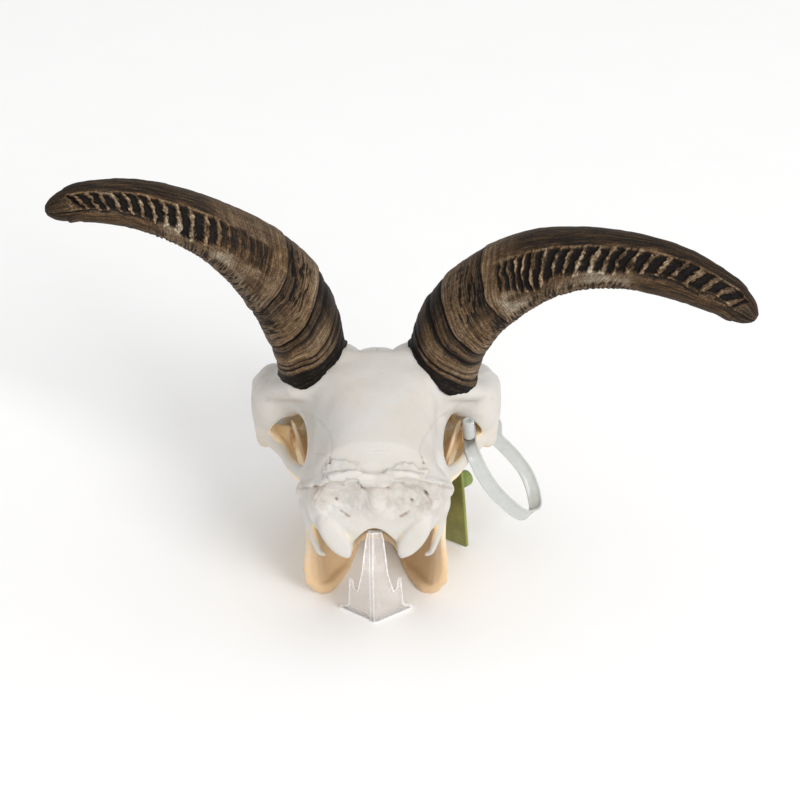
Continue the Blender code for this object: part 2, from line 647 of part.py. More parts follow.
def main():
    clear_scene()
    parts = collection("goat_skull")
    cutters = collection("cutters")
    bone = material("bone", (0.86, 0.82, 0.74), 0.55)
    jaw_bone = material("jaw_bone", (0.86, 0.76, 0.60), 0.5)
    horn = material("horn", (0.12, 0.085, 0.06), 0.5)
    clear = material("clear_plastic", (0.93, 0.9, 0.9), 0.08, transmission=0.9)
    tie = material("tie_plastic", (0.86, 0.87, 0.86), 0.35)
    tag = material("tag_plastic", (0.24, 0.27, 0.08), 0.45)
    knob = material("knob_plastic", (0.25, 0.40, 0.06), 0.4)
    cranium = make_cranium(parts, cutters, bone)
    make_jaw(1.0, "mandible_left", parts, cutters, jaw_bone)
    make_jaw(-1.0, "mandible_right", parts, cutters, jaw_bone)
    make_horn(HORN_LEFT, "horn_left", cranium, parts, cutters, horn)
    make_horn(HORN_RIGHT, "horn_right", cranium, parts, cutters, horn)
    make_prop(parts, cutters, clear)
    make_tie(parts, cutters, tie)
    make_head(parts, tie)
    make_tag(parts, tag, knob)


main()
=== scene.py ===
"""Looks of a goat skull with horns, clear prop, tie loop and hang tag.

Skull millimetres are used throughout: x to the animal's left, f forward from the rear face of
the condyles, z up from the palate plane. world() turns them into the frame's metres.
"""

import math

import bmesh
import bpy
import numpy as np
from mathutils import Matrix, Vector

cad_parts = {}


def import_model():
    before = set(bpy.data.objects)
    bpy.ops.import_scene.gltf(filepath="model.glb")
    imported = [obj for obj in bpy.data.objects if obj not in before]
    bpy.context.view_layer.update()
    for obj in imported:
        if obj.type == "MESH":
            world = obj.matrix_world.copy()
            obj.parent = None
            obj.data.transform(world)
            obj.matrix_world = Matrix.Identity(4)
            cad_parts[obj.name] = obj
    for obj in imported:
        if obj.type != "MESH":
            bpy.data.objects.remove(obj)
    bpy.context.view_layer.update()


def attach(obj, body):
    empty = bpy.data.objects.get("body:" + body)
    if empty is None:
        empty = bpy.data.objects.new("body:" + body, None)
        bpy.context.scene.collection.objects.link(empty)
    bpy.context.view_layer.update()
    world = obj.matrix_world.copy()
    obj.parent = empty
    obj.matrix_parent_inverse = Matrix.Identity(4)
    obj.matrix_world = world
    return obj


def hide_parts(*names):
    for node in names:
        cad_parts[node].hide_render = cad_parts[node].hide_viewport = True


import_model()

MM = 0.001
LIFT = 44.0                           # height of the palate plane over the floor
FLOOR = -LIFT
CENTRE_X = -16.5                      # middle of the whole part, in skull millimetres
CENTRE_F = 110.7
CELL = 0.65    # grid of the bone fields
FAR = 14.0                            # distance that stands for "nothing near"
ROD_STEPS = 4                         # lengths between two stations of a rod

# Camera, in skull millimetres.
EYE = np.array((-13.3, -935.93, 657.93))
ELEVATION = 30.0
FRAME = 800.0                         # width of the picture in pixels
PIXELS = 2150.0                       # focal length in those pixels
SENSOR = 36.0                         # width of the camera's sensor in millimetres
LOOK = np.array((0.0, math.cos(math.radians(ELEVATION)), -math.sin(math.radians(ELEVATION))))
OVER = np.array((0.0, math.sin(math.radians(ELEVATION)), math.cos(math.radians(ELEVATION))))

# ---------------------------------------------------------------- tables of the skull's form

# Slices of the cranium's core: f, then the half outline (x, z) from the top down.
CORE = (
    (2.5, ((0, 68), (20, 66), (31, 56), (20, 42), (0, 34))),
    (8, ((0, 75), (22, 71), (35, 57), (30, 34), (0, 16))),
    (17, ((0, 83), (22, 77), (38, 54), (27, 28), (0, 14))),
    (32, ((0, 90), (20, 84), (32, 61), (23, 30), (0, 15))),
    (48, ((0, 96), (22, 90), (32, 65), (19, 32), (0, 18))),
    (63, ((0, 100), (30, 94), (31, 68), (15, 38), (0, 22))),
    (78, ((0, 103), (44, 92), (29, 66), (12, 38), (0, 24))),
    (92, ((0, 94.7), (52, 84), (27, 60), (13, 30), (0, 14))),
    (106, ((0, 86.7), (55, 76), (25, 50), (24, 14), (0, 4))),
    (120, ((0, 79.1), (50, 71), (27, 46), (28, 8), (0, 3))),
    (134, ((0, 71), (34, 66), (38, 42), (29, 6), (0, 2))),
    (149, ((0, 65), (22, 61), (35, 34), (28, 4), (0, 2))),
    (164, ((0, 57), (17, 53), (30, 26), (25, 3), (0, 1))),
    (178, ((0, 50), (14, 46), (22, 23), (18, 2), (0, 0))),
    (192, ((0, 43), (12, 39), (17, 18), (14, 1), (0, 0))),
    (205, ((0, 36), (8, 33.5), (13, 16), (12, 1), (0, 0))),
)
# Left jaw slices: f, low edge (x, z), high edge (x, z), half thickness, bend.
JAW = (
    (50.5, (39.0, -20), (36.6, 10), 1.6, 0.9), (53, (37.6, -31.5), (36.2, 22), 2.4, 0.7),
    (58, (32.5, -41), (36.2, 27), 3.2, 0.25), (62, (28.6, -44.6), (36.4, 28.5), 3.9, 0.22),
    (67, (25.6, -45.4), (36.6, 31.5), 3.7, 0.24), (71, (23.8, -45.4), (37.6, 35), 3.3, 0.26),
    (75, (22.0, -45.4), (39.2, 39.5), 3.0, 0.28), (79, (20.4, -45.4), (41.4, 44.5), 2.7, 0.31),
    (83, (18.6, -45.4), (43.6, 50), 2.3, 0.35), (86, (17.4, -45.4), (45.2, 54.5), 2.1, 0.38),
    (90, (16.7, -45.4), (46.4, 54.6), 2.2, 0.45), (94, (16.2, -45.3), (45.0, 42), 2.6, 0.55),
    (97, (15.9, -45.2), (42.6, 26), 3.1, 0.64), (100, (15.6, -45.1), (39.5, 8), 3.8, 0.75),
    (104, (15.3, -44.9), (33.5, -9.5), 4.4, 0.9),
    (111, (15.0, -44.4), (27.6, -12.5), 5.2, 1), (126, (14.2, -42.4), (24.8, -15.5), 5.6, 1),
    (142, (13.2, -39.4), (22.6, -16.5), 5.2, 1), (156, (12, -35.6), (20, -17), 4.8, 1),
    (167, (10, -32), (15.4, -17), 4.4, 1), (178, (6.6, -28), (9.6, -16), 4.6, 1),
    (190, (4.4, -23), (6.6, -12.6), 4.8, 1), (202, (3.9, -16.5), (5.2, -7.4), 4.8, 1),
    (211, (3.9, -11), (5.2, -4), 3.8, 1),
)
# Hollow of the orbit: middle and radii along x, f and z.
ORBIT, ORBIT_RADII = (60, 114.5, 51), (24, 15.8, 15.4)
# Horn axes: x, f, z, half width across, half depth front to back.
HORN_LEFT = (
    (30.3, 88, 77.4, 17.5, 25), (33.3, 87.5, 89.4, 18.3, 26),
    (39, 85, 116.6, 20.3, 25.5), (49.6, 80, 142.3, 20.7, 23.5),
    (65.1, 72, 164.3, 18.4, 21), (82.9, 62.5, 182.4, 15.2, 18.4),
    (102.3, 53, 196.2, 13.6, 15.8), (122.4, 44, 206.2, 12, 13.4),
    (143.2, 36.5, 210.1, 10.1, 11), (151.8, 34, 208.8, 8.5, 8.9),
    (158.2, 32.2, 207.9, 6.1, 6.4), (161.8, 31.2, 207.3, 2.8, 3.2),
)
HORN_RIGHT = (
    (-32.4, 88, 74.9, 17.5, 25), (-35.4, 87.5, 86.9, 19.4, 26),
    (-43.8, 85, 116, 20.8, 25.5), (-61.1, 80, 139, 20.7, 23.5),
    (-82.9, 72, 156.5, 19.3, 21), (-106.6, 62.5, 166.1, 16.3, 18.4),
    (-130.7, 53, 169.3, 14.9, 15.8), (-154, 44, 167.1, 14, 13.4),
    (-176.1, 36.5, 159.3, 11.4, 11), (-184.4, 34, 153.7, 9.6, 8.9),
    (-190.5, 32.2, 149.6, 6.9, 6.4), (-194, 31.2, 147.3, 3.2, 3.2),
)


# ---------------------------------------------------------------- numbers

def world(p):
    """Skull millimetres (n, 3) to the frame's metres."""
    p = np.asarray(p, float)
    out = np.empty_like(p)
    out[..., 0] = p[..., 0] - CENTRE_X
    out[..., 1] = CENTRE_F - p[..., 1]
    out[..., 2] = p[..., 2] + LIFT
    return out * MM


def photo(p):
    """Where skull points fall in the 800-pixel picture."""
    d = np.asarray(p, float) - EYE
    depth = d @ LOOK
    return FRAME / 2 - PIXELS * d[..., 0] / depth, FRAME / 2 - PIXELS * (d @ OVER) / depth


def spline(points, steps, closed=False):
    """Catmull-Rom curve through tuples, as an array."""
    pts = np.array(points, float)
    n = len(pts)
    spans = np.arange(n if closed else n - 1)
    ids = [spans - 1, spans, spans + 1, spans + 2]
    ids = [i % n if closed else np.clip(i, 0, n - 1) for i in ids]
    a, b, c, d = (pts[i][:, None, :] for i in ids)
    t = (np.arange(steps) / steps)[None, :, None]
    out = 0.5 * (2 * b + (c - a) * t + (2 * a - 5 * b + 4 * c - d) * t ** 2
                 + (3 * b - a - 3 * c + d) * t ** 3)
    out = out.reshape(-1, pts.shape[1])
    return out if closed else np.vstack((out, pts[-1:]))


def smooth(low, high, x):
    """0 to 1 ease between two values."""
    t = np.clip((x - low) / (high - low), 0, 1)
    return t * t * (3 - 2 * t)


def window(x, rise, fall):
    """1 between a rising and a falling ease, each given as where it is 0 and where it is 1."""
    return smooth(*rise, x) * smooth(*fall, x)


def bell(x, middle, width):
    """1 at the middle, falling to both sides."""
    return np.exp(-((x - middle) / width) ** 2)


def toward(value, goal, share):
    """A value moved by a share of the way to a goal."""
    return value + (goal - value) * share


def along_table(table, at):
    """Value between the rows (key, value) of a table."""
    rows = np.array(table, float)
    order = np.argsort(rows[:, 0])
    return np.interp(at, rows[order, 0], rows[order, 1])


def lattice(i, j, k, seed):
    """Repeatable value from -1 to 1 for whole-number cells."""
    h = (i * 73856093) ^ (j * 19349663) ^ (k * 83492791) ^ (seed * 2654435761)
    h = (h ^ (h >> 13)) * 1274126177 & 0xFFFFFFFF
    h = (h ^ (h >> 16)) * 2246822519 & 0xFFFFFFFF
    return (h ^ (h >> 15)).astype(float) / 2147483648.0 - 1.0


def noise(p, size, seed=0):
    """Smooth noise from -1 to 1 at points (n, 3); size is a cell, one number or three."""
    q = np.asarray(p, float) / np.asarray(size, float) + 512.37
    base = np.floor(q).astype(np.int64)
    t = q - base
    t = t * t * (3 - 2 * t)
    out = np.zeros(len(q))
    for a in (0, 1):
        wa = t[:, 0] if a else 1 - t[:, 0]
        for b in (0, 1):
            wb = wa * (t[:, 1] if b else 1 - t[:, 1])
            for c in (0, 1):
                w = wb * (t[:, 2] if c else 1 - t[:, 2])
                out += w * lattice(base[:, 0] + a, base[:, 1] + b, base[:, 2] + c, seed)
    return out


def fractal(p, size, seed=0, octaves=3):
    """Noise with finer and weaker noise laid over it."""
    total = sum(noise(p, np.asarray(size) / 2 ** o, seed + o) * 0.5 ** o for o in range(octaves))
    return total / (2 - 0.5 ** (octaves - 1))


def turned(turn):
    """Rotation matrix, in skull axes, of degrees about the frame's x, y and z."""
    spin = (Matrix.Rotation(math.radians(turn[0]), 3, "X")
            @ Matrix.Rotation(math.radians(turn[1]), 3, "Y")
            @ Matrix.Rotation(math.radians(turn[2]), 3, "Z"))
    flip = np.diag((1.0, -1.0, 1.0))
    return flip @ np.array(spin) @ flip


# ---------------------------------------------------------------- distance fields

class Field:
    """Signed distance on a grid, negative inside."""

    def __init__(self, low, high):
        self.low = np.array(low, float)
        self.axes = [np.arange(a, b + CELL, CELL) for a, b in zip(low, high)]
        shape = [len(a) for a in self.axes]
        self.d = np.full(shape, FAR, np.float32)
        self.work = np.full(shape, FAR, np.float32)

    def region(self, low, high, margin):
        """Slices of the grid round a box, and the coordinates in them."""
        cut = tuple(slice(int(np.searchsorted(axis, a - margin)),
                          int(np.searchsorted(axis, b + margin)))
                    for axis, a, b in zip(self.axes, low, high))
        x, f, z = (axis[c].astype(np.float32) for axis, c in zip(self.axes, cut))
        return cut, x[:, None, None], f[None, :, None], z[None, None, :]

    def fuse(self, cut, d, blend):
        """Add a form, with a fillet."""
        a = self.d[cut]
        h = np.clip(0.5 + 0.5 * (a - d) / blend, 0, 1)
        self.d[cut] = a + (d - a) * h - blend * h * (1 - h)

    def carve(self, cut, d, blend):
        """Take a form away, with a rounded edge."""
        a = -self.d[cut]
        h = np.clip(0.5 + 0.5 * (a - d) / blend, 0, 1)
        self.d[cut] = -(a + (d - a) * h - blend * h * (1 - h))

    def blob(self, at, radii, turn=(0, 0, 0), blend=3.0, cut_out=False):
        """Ellipsoid, turned by degrees."""
        reach = max(radii)
        cut, x, f, z = self.region(np.array(at) - reach, np.array(at) + reach, blend + 2)
        m = turned(turn)
        p = (x - at[0], f - at[1], z - at[2])
        near = 0
        steep = 0
        for i, r in enumerate(radii):
            q = m[0, i] * p[0] + m[1, i] * p[1] + m[2, i] * p[2]
            near = near + (q / r) ** 2
            steep = steep + (q / r ** 2) ** 2
        near = np.sqrt(near)
        d = near * (near - 1) / np.maximum(np.sqrt(steep), 1e-5)
        (self.carve if cut_out else self.fuse)(cut, d.astype(np.float32), blend)

    def rod(self, stations, up=(0, 0, 1), blend=3.0, cut_out=False):
        """Oval tube through (x, f, z, half width, half height) stations."""
        path = spline(stations, ROD_STEPS)
        margin = blend + 2
        for p, q in zip(path, path[1:]):
            run = q[:3] - p[:3]
            length = float(np.linalg.norm(run))
            if length < 1e-6:
                continue
            along = run / length
            across = np.cross(along, up)
            across /= np.linalg.norm(across)
            over = np.cross(across, along)
            reach = max(p[3], p[4], q[3], q[4])
            cut, x, f, z = self.region(np.minimum(p[:3], q[:3]) - reach,
                                       np.maximum(p[:3], q[:3]) + reach, margin)
            dx, df, dz = x - p[0], f - p[1], z - p[2]
            s = dx * along[0] + df * along[1] + dz * along[2]
            u = dx * across[0] + df * across[1] + dz * across[2]
            v = dx * over[0] + df * over[1] + dz * over[2]
            t = np.clip(s / length, 0, 1)
            w = p[3] + (q[3] - p[3]) * t
            h = p[4] + (q[4] - p[4]) * t
            e = np.minimum(w, h)
            past = s - t * length
            near = np.sqrt((u / w) ** 2 + (v / h) ** 2 + (past / e) ** 2)
            steep = np.sqrt((u / w ** 2) ** 2 + (v / h ** 2) ** 2 + (past / e ** 2) ** 2)
            d = near * (near - 1) / np.maximum(steep, 1e-5)
            self.work[cut] = np.minimum(self.work[cut], d)
        reach = path[:, 3:5].max()
        cut, *_ = self.region(path[:, :3].min(0) - reach, path[:, :3].max(0) + reach, margin)
        (self.carve if cut_out else self.fuse)(cut, self.work[cut], blend)
        self.work[cut] = FAR

    def steady(self):
        """Divide by the slope, so that values near the surface are millimetres."""
        g = np.gradient(self.d, CELL)
        slope = np.sqrt(g[0] ** 2 + g[1] ** 2 + g[2] ** 2)
        self.d /= np.maximum(slope, 0.6)

    def at(self, p):
        """Distance at points that lie between the grid's."""
        q = (np.asarray(p, float) - self.low) / CELL
        top = np.array(self.d.shape) - 2
        i = np.clip(np.floor(q).astype(int), 0, top)
        t = np.clip(q - i, 0, 1)
        out = np.zeros(len(q))
        for a in (0, 1):
            for b in (0, 1):
                for c in (0, 1):
                    w = ((t[:, 0] if a else 1 - t[:, 0]) * (t[:, 1] if b else 1 - t[:, 1])
                         * (t[:, 2] if c else 1 - t[:, 2]))
                    out += w * self.d[i[:, 0] + a, i[:, 1] + b, i[:, 2] + c]
        return out

    def mirrored(self):
        """The whole from the half with x from 0 up."""
        both = Field.__new__(Field)
        both.axes = [np.concatenate((-self.axes[0][:0:-1], self.axes[0]))] + self.axes[1:]
        both.low = np.array([a[0] for a in both.axes])
        both.d = np.concatenate((self.d[:0:-1], self.d))
        both.work = np.full(both.d.shape, FAR, np.float32)
        return both


CORNERS = [(a, b, c) for a in (0, 1) for b in (0, 1) for c in (0, 1)]
EDGES = [(i, j) for i, a in enumerate(CORNERS) for j, b in enumerate(CORNERS)
         if i < j and sum(abs(m - n) for m, n in zip(a, b)) == 1]


def skin(field):
    """Points and quads on a field's zero level, one point in each crossed cell."""
    d = field.d
    inside = d < 0
    size = [n - 1 for n in d.shape]
    count = np.zeros(size, np.int8)
    for a, b, c in CORNERS:
        count += inside[a:a + size[0], b:b + size[1], c:c + size[2]]
    cells = np.argwhere((count > 0) & (count < 8))
    ids = np.full(size, -1, np.int32)
    ids[tuple(cells.T)] = np.arange(len(cells))
    value = [d[tuple((cells + o).T)].astype(float) for o in CORNERS]
    total = np.zeros((len(cells), 3))
    hits = np.zeros(len(cells))
    for i, j in EDGES:
        crossed = (value[i] < 0) != (value[j] < 0)
        t = np.where(crossed, value[i] / np.where(crossed, value[i] - value[j], 1), 0)
        step = np.array(CORNERS[j], float) - np.array(CORNERS[i], float)
        total += (np.array(CORNERS[i]) + step * t[:, None]) * crossed[:, None]
        hits += crossed
    points = field.low + (cells + total / hits[:, None]) * CELL
    quads = []
    for axis in range(3):
        near = [slice(1, n - 1) for n in d.shape]
        near[axis] = slice(0, d.shape[axis] - 1)
        far = list(near)
        far[axis] = slice(1, d.shape[axis])
        a, b = inside[tuple(near)], inside[tuple(far)]
        e = np.argwhere(a != b)
        out = a[tuple(e.T)]
        e += [n.start for n in near]
        u, w = np.eye(3, dtype=int)[(axis + 1) % 3], np.eye(3, dtype=int)[(axis + 2) % 3]
        q = np.stack([ids[tuple(c.T)] for c in (e, e - u, e - u - w, e - w)], 1)
        q[~out] = q[~out][:, ::-1]
        quads.append(q)
    return points, np.concatenate(quads)


def relax(points, quads, times):
    """Move points halfway to the middle of their neighbours, again and again."""
    a = quads.ravel()
    b = np.roll(quads, -1, axis=1).ravel()
    ends, others = np.concatenate((a, b)), np.concatenate((b, a))
    n = len(points)
    degree = np.maximum(np.bincount(ends, minlength=n), 1)
    for _ in range(times):
        mean = np.stack([np.bincount(ends, weights=points[others, k], minlength=n) / degree
                         for k in range(3)], 1)
        points = points + (mean - points) * 0.5
    return points


def normals(points, quads):
    """Outward unit normals of the points."""
    p = points[quads]
    face = np.cross(p[:, 2] - p[:, 0], p[:, 3] - p[:, 1])
    out = np.zeros_like(points)
    for k in range(quads.shape[1]):
        for axis in range(3):
            out[:, axis] += np.bincount(quads[:, k], weights=face[:, axis],
                                        minlength=len(points))
    return out / np.maximum(np.linalg.norm(out, axis=1, keepdims=True), 1e-9)


# ---------------------------------------------------------------- pieces

def give_values(mesh, values):
    """Per-point values that the materials read by name."""
    for key, value in values.items():
        value = np.asarray(value, np.float32)
        kind = "FLOAT" if value.ndim == 1 else "FLOAT_VECTOR"
        made = mesh.attributes.new(key, kind, "POINT")
        made.data.foreach_set("value" if kind == "FLOAT" else "vector", value.ravel())


def place_piece(name, mesh, material, replaced):
    """A finished mesh becomes a piece that rides on the one body."""
    mesh.materials.append(material)
    obj = bpy.data.objects.new(name, mesh)
    bpy.context.scene.collection.objects.link(obj)
    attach(obj, "root")
    if replaced:
        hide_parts(*replaced)


def add_piece(name, points, faces, material, replaced, values=None, flip=True):
    """A piece from points in skull millimetres.

    faces is an array of quads or triangles, or a list of such arrays."""
    groups = faces if isinstance(faces, list) else [faces]
    groups = [np.asarray(g)[:, ::-1] if flip else np.asarray(g) for g in groups]
    corners = np.concatenate([g.ravel() for g in groups]).astype(np.int32)
    widths = np.concatenate([np.full(len(g), g.shape[1]) for g in groups])
    starts = (np.cumsum(widths) - widths).astype(np.int32)
    mesh = bpy.data.meshes.new(name)
    mesh.vertices.add(len(points))
    mesh.vertices.foreach_set("co", world(points).astype(np.float32).ravel())
    mesh.loops.add(len(corners))
    mesh.loops.foreach_set("vertex_index", corners)
    mesh.polygons.add(len(starts))
    mesh.polygons.foreach_set("loop_start", starts)
    mesh.update(calc_edges=True)
    mesh.validate()
    mesh.shade_smooth()
    give_values(mesh, values or {})
    place_piece(name, mesh, material, replaced)


def finish_piece(bm, name, material, replaced, sharp, values=None):
    """A piece from a bmesh in skull millimetres, with outward faces.

    Edges past the sharp angle stay sharp; values holds functions of the points."""
    bmesh.ops.recalc_face_normals(bm, faces=bm.faces)
    mesh = bpy.data.meshes.new(name)
    bm.to_mesh(mesh)
    bm.free()
    co = np.empty(len(mesh.vertices) * 3)
    mesh.vertices.foreach_get("co", co)
    co = co.reshape(-1, 3)
    mesh.vertices.foreach_set("co", world(co).astype(np.float32).ravel())
    mesh.flip_normals()
    mesh.update()
    mesh.shade_smooth()
    if sharp:
        mesh.set_sharp_from_angle(angle=math.radians(sharp))
    give_values(mesh, {key: value(co) for key, value in (values or {}).items()})
    place_piece(name, mesh, material, replaced)


def grid_faces(rows, columns, loop=False):
    """Quads between rings of points; in a loop the last ring joins the first."""
    i, j = np.meshgrid(np.arange(rows if loop else rows - 1), np.arange(columns), indexing="ij")
    n, k = (i + 1) % rows, (j + 1) % columns
    return np.stack((i * columns + j, i * columns + k, n * columns + k, n * columns + j),
                    -1).reshape(-1, 4)


# ---------------------------------------------------------------- materials

class Nodes:
    """Short hand for a node tree."""

    def __init__(self, name):
        self.material = bpy.data.materials.new(name)
        self.material.use_nodes = True
        self.tree = self.material.node_tree
        self.shader = self.tree.nodes["Principled BSDF"]

    def add(self, kind, **settings):
        node = self.tree.nodes.new(kind)
        for key, value in settings.items():
            if key in node.inputs:
                node.inputs[key].default_value = value
            else:
                setattr(node, key, value)
        return node

    def link(self, source, target):
        self.tree.links.new(source, target)

    def value(self, name):
        return self.add("ShaderNodeAttribute", attribute_name=name).outputs["Fac"]

    def vector(self, name):
        return self.add("ShaderNodeAttribute", attribute_name=name).outputs["Vector"]

    def place(self, scale=(1, 1, 1), source=None):
        """Texture coordinates in millimetres."""
        if source is None:
            source = self.add("ShaderNodeTexCoord").outputs["Object"]
            scale = tuple(1000.0 * s for s in scale)
        node = self.add("ShaderNodeMapping", Scale=scale)
        self.link(source, node.inputs["Vector"])
        return node.outputs["Vector"]

    def noise(self, coords, scale, detail=4.0, roughness=0.6):
        node = self.add("ShaderNodeTexNoise", Scale=scale, Detail=detail, Roughness=roughness)
        self.link(coords, node.inputs["Vector"])
        return node.outputs["Fac"]

    def math(self, how, a, b=None, clamp=False):
        node = self.add("ShaderNodeMath", operation=how, use_clamp=clamp)
        for socket, given in zip(node.inputs, (a, b)):
            if given is None:
                continue
            if isinstance(given, (int, float)):
                socket.default_value = given
            else:
                self.link(given, socket)
        return node.outputs["Value"]

    def ramp(self, source, stops):
        node = self.add("ShaderNodeValToRGB")
        ramp = node.color_ramp
        while len(ramp.elements) < len(stops):
            ramp.elements.new(0.5)
        for element, (at, colour) in zip(ramp.elements, stops):
            element.position = at
            element.color = (*colour, 1.0)
        self.link(source, node.inputs["Fac"])
        return node.outputs["Color"]

    def span(self, source, low, high, out_low=0.0, out_high=1.0):
        node = self.add("ShaderNodeMapRange")
        node.clamp = True
        for key, given in (("From Min", low), ("From Max", high), ("To Min", out_low),
                           ("To Max", out_high)):
            node.inputs[key].default_value = given
        self.link(source, node.inputs["Value"])
        return node.outputs["Result"]

    def mix(self, factor, a, b):
        node = self.add("ShaderNodeMix", data_type="RGBA")
        for socket, given in ((node.inputs[0], factor), (node.inputs[6], a), (node.inputs[7], b)):
            if isinstance(given, (int, float)):
                socket.default_value = given
            elif isinstance(given, tuple):
                socket.default_value = (*given, 1.0)
            else:
                self.link(given, socket)
        return node.outputs[2]

    def bump(self, height, strength, distance, below=None):
        node = self.add("ShaderNodeBump", Strength=strength, Distance=distance)
        self.link(height, node.inputs["Height"])
        if below is not None:
            self.link(below, node.inputs["Normal"])
        return node.outputs["Normal"]

    def set(self, **settings):
        for key, given in settings.items():
            socket = self.shader.inputs[key.replace("_", " ")]
            if isinstance(given, (int, float)):
                socket.default_value = given
            elif isinstance(given, tuple):
                socket.default_value = (*given, 1.0) if socket.type == "RGBA" else given
            else:
                self.link(given, socket)
        return self.material


def bone_material(name, pale, warm, tan):
    """Dry bone: tan and grey by the mesh's own values, with pores, mottling, stains and painted
    shade.
    """
    n = Nodes(name)
    here = n.place()
    cloud = n.noise(here, 0.045, 3.0)
    mottle = n.noise(here, 0.35, 5.0, 0.65)
    grain = n.noise(here, 2.4, 3.0, 0.7)
    base = n.mix(n.span(cloud, 0.35, 0.65), pale, warm)
    base = n.mix(n.span(mottle, 0.42, 0.75, 0.0, 0.35), base, tuple(c * 0.9 for c in warm))
    # tan: a warm colour, which also paints a warm glow in the skull's shaded hollows and the shade
    # on the jaw's upper process
    tone = n.math("ADD", n.value("tan"), n.span(mottle, 0.3, 0.7, -0.12, 0.12), clamp=True)
    base = n.mix(tone, base, tan)
    grey = n.math("MULTIPLY", n.value("grey"), n.span(mottle, 0.3, 0.65, 0.35, 1.0), clamp=True)
    base = n.mix(grey, base, (0.40, 0.37, 0.33))
    # stains, and painted shade in holes, under the crest and deep in the foramen
    base = n.mix(n.value("stain_and_shade"), base, (0.20, 0.10, 0.045))
    pits = n.span(grain, 0.25, 0.55, 0.0, 1.0)
    relief = n.bump(pits, 0.16, 0.0003)
    relief = n.bump(mottle, 0.30, 0.0006, relief)
    rough = n.span(mottle, 0.3, 0.7, 0.42, 0.60)
    return n.set(Base_Color=base, Roughness=rough, Normal=relief, Subsurface_Weight=0.12,
                 Subsurface_Radius=(1.0, 0.62, 0.36), Subsurface_Scale=0.003,
                 Specular_IOR_Level=0.38)


def horn_material():
    """Weathered horn: a tone value from black through brown to pale tan, with fibres."""
    n = Nodes("horn_sheath")
    grain = n.vector("grain")
    fibre = n.noise(n.place((0.09, 1.3, 1.3), grain), 1.0, 5.0, 0.65)
    rings = n.noise(n.place((1.5, 0.14, 0.14), grain), 1.0, 5.0, 0.6)
    speck = n.noise(n.place(), 1.6, 4.0, 0.7)
    along = n.value("fibrous")
    lines = n.math("ADD", n.math("MULTIPLY", fibre, along),
                   n.math("MULTIPLY", rings, n.math("SUBTRACT", 1.0, along)))
    tone = n.math("ADD", n.value("tone"), n.span(lines, 0.3, 0.7, -0.22, 0.17))
    tone = n.math("ADD", tone, n.span(speck, 0.3, 0.7, -0.19, 0.15), clamp=True)
    warm = n.ramp(tone, ((0.0, (0.004, 0.003, 0.0025)), (0.22, (0.013, 0.009, 0.006)),
                         (0.45, (0.066, 0.036, 0.016)), (0.68, (0.175, 0.110, 0.057)),
                         (1.0, (0.47, 0.355, 0.225))))
    cool = n.ramp(tone, ((0.0, (0.005, 0.004, 0.0035)), (0.22, (0.017, 0.013, 0.010)),
                         (0.45, (0.072, 0.052, 0.034)), (0.68, (0.19, 0.152, 0.106)),
                         (1.0, (0.53, 0.465, 0.37))))
    colour = n.mix(n.value("cool"), warm, cool)
    relief = n.bump(lines, 0.5, 0.0006)
    relief = n.bump(speck, 0.35, 0.0004, relief)
    return n.set(Base_Color=colour, Roughness=n.span(lines, 0.3, 0.7, 0.50, 0.68),
                 Normal=relief, Specular_IOR_Level=0.12)


def tooth_material():
    """Ivory enamel with brown streaks down it, and stains by the mesh's own values."""
    n = Nodes("tooth")
    here = n.place()
    streak = n.noise(n.place((1.5, 1.5, 0.25)), 1.0, 4.0)
    base = n.mix(n.span(streak, 0.35, 0.7), (0.80, 0.74, 0.60), (0.62, 0.50, 0.33))
    base = n.mix(n.value("stain_and_shade"), base, (0.16, 0.09, 0.045))
    relief = n.bump(n.noise(here, 1.2, 3.0), 0.2, 0.0003)
    return n.set(Base_Color=base, Roughness=0.32, Normal=relief)


def clear_material():
    """Thin clear faces that let what is behind them through, and painted highlights along the cut
    edges.
    """
    n = Nodes("clear_moulding")
    haze = n.noise(n.place(), 0.4, 3.0)
    streak = n.noise(n.place((1.0, 1.0, 0.15)), 0.5, 3.0)
    edge = n.value("edge")
    base = n.mix(n.span(streak, 0.35, 0.65), (0.74, 0.67, 0.63), (0.86, 0.82, 0.80))
    # painted highlight: near white and less clear along the cut edges, rib and foot
    base = n.mix(edge, base, (0.97, 0.95, 0.95))
    cover = n.math("ADD", n.span(streak, 0.3, 0.7, 0.22, 0.32), n.span(edge, 0.0, 1.0, 0.0, 0.6),
                   clamp=True)
    relief = n.bump(haze, 0.06, 0.0003)
    return n.set(Base_Color=base, Roughness=n.span(haze, 0.3, 0.7, 0.04, 0.12), Normal=relief,
                 Alpha=cover)


def tie_material():
    """Milky nylon that lets some light through."""
    n = Nodes("tie_nylon")
    cloud = n.noise(n.place(), 0.25, 3.0)
    base = n.mix(n.span(cloud, 0.3, 0.7), (0.55, 0.57, 0.56), (0.62, 0.63, 0.61))
    relief = n.bump(n.noise(n.place(), 2.0, 3.0), 0.12, 0.0002)
    return n.set(Base_Color=base, Roughness=0.33, Normal=relief, Transmission_Weight=0.22,
                 Subsurface_Weight=0.25, Subsurface_Radius=(1.0, 1.0, 0.95),
                 Subsurface_Scale=0.002)


def ring_material():
    """Dark rubber of the ring in the tie's housing."""
    n = Nodes("tie_ring")
    speck = n.noise(n.place(), 3.0, 3.0)
    base = n.mix(n.span(speck, 0.3, 0.7), (0.045, 0.042, 0.040), (0.085, 0.08, 0.075))
    return n.set(Base_Color=base, Roughness=0.3, Normal=n.bump(speck, 0.1, 0.0002),
                 Specular_IOR_Level=0.6)


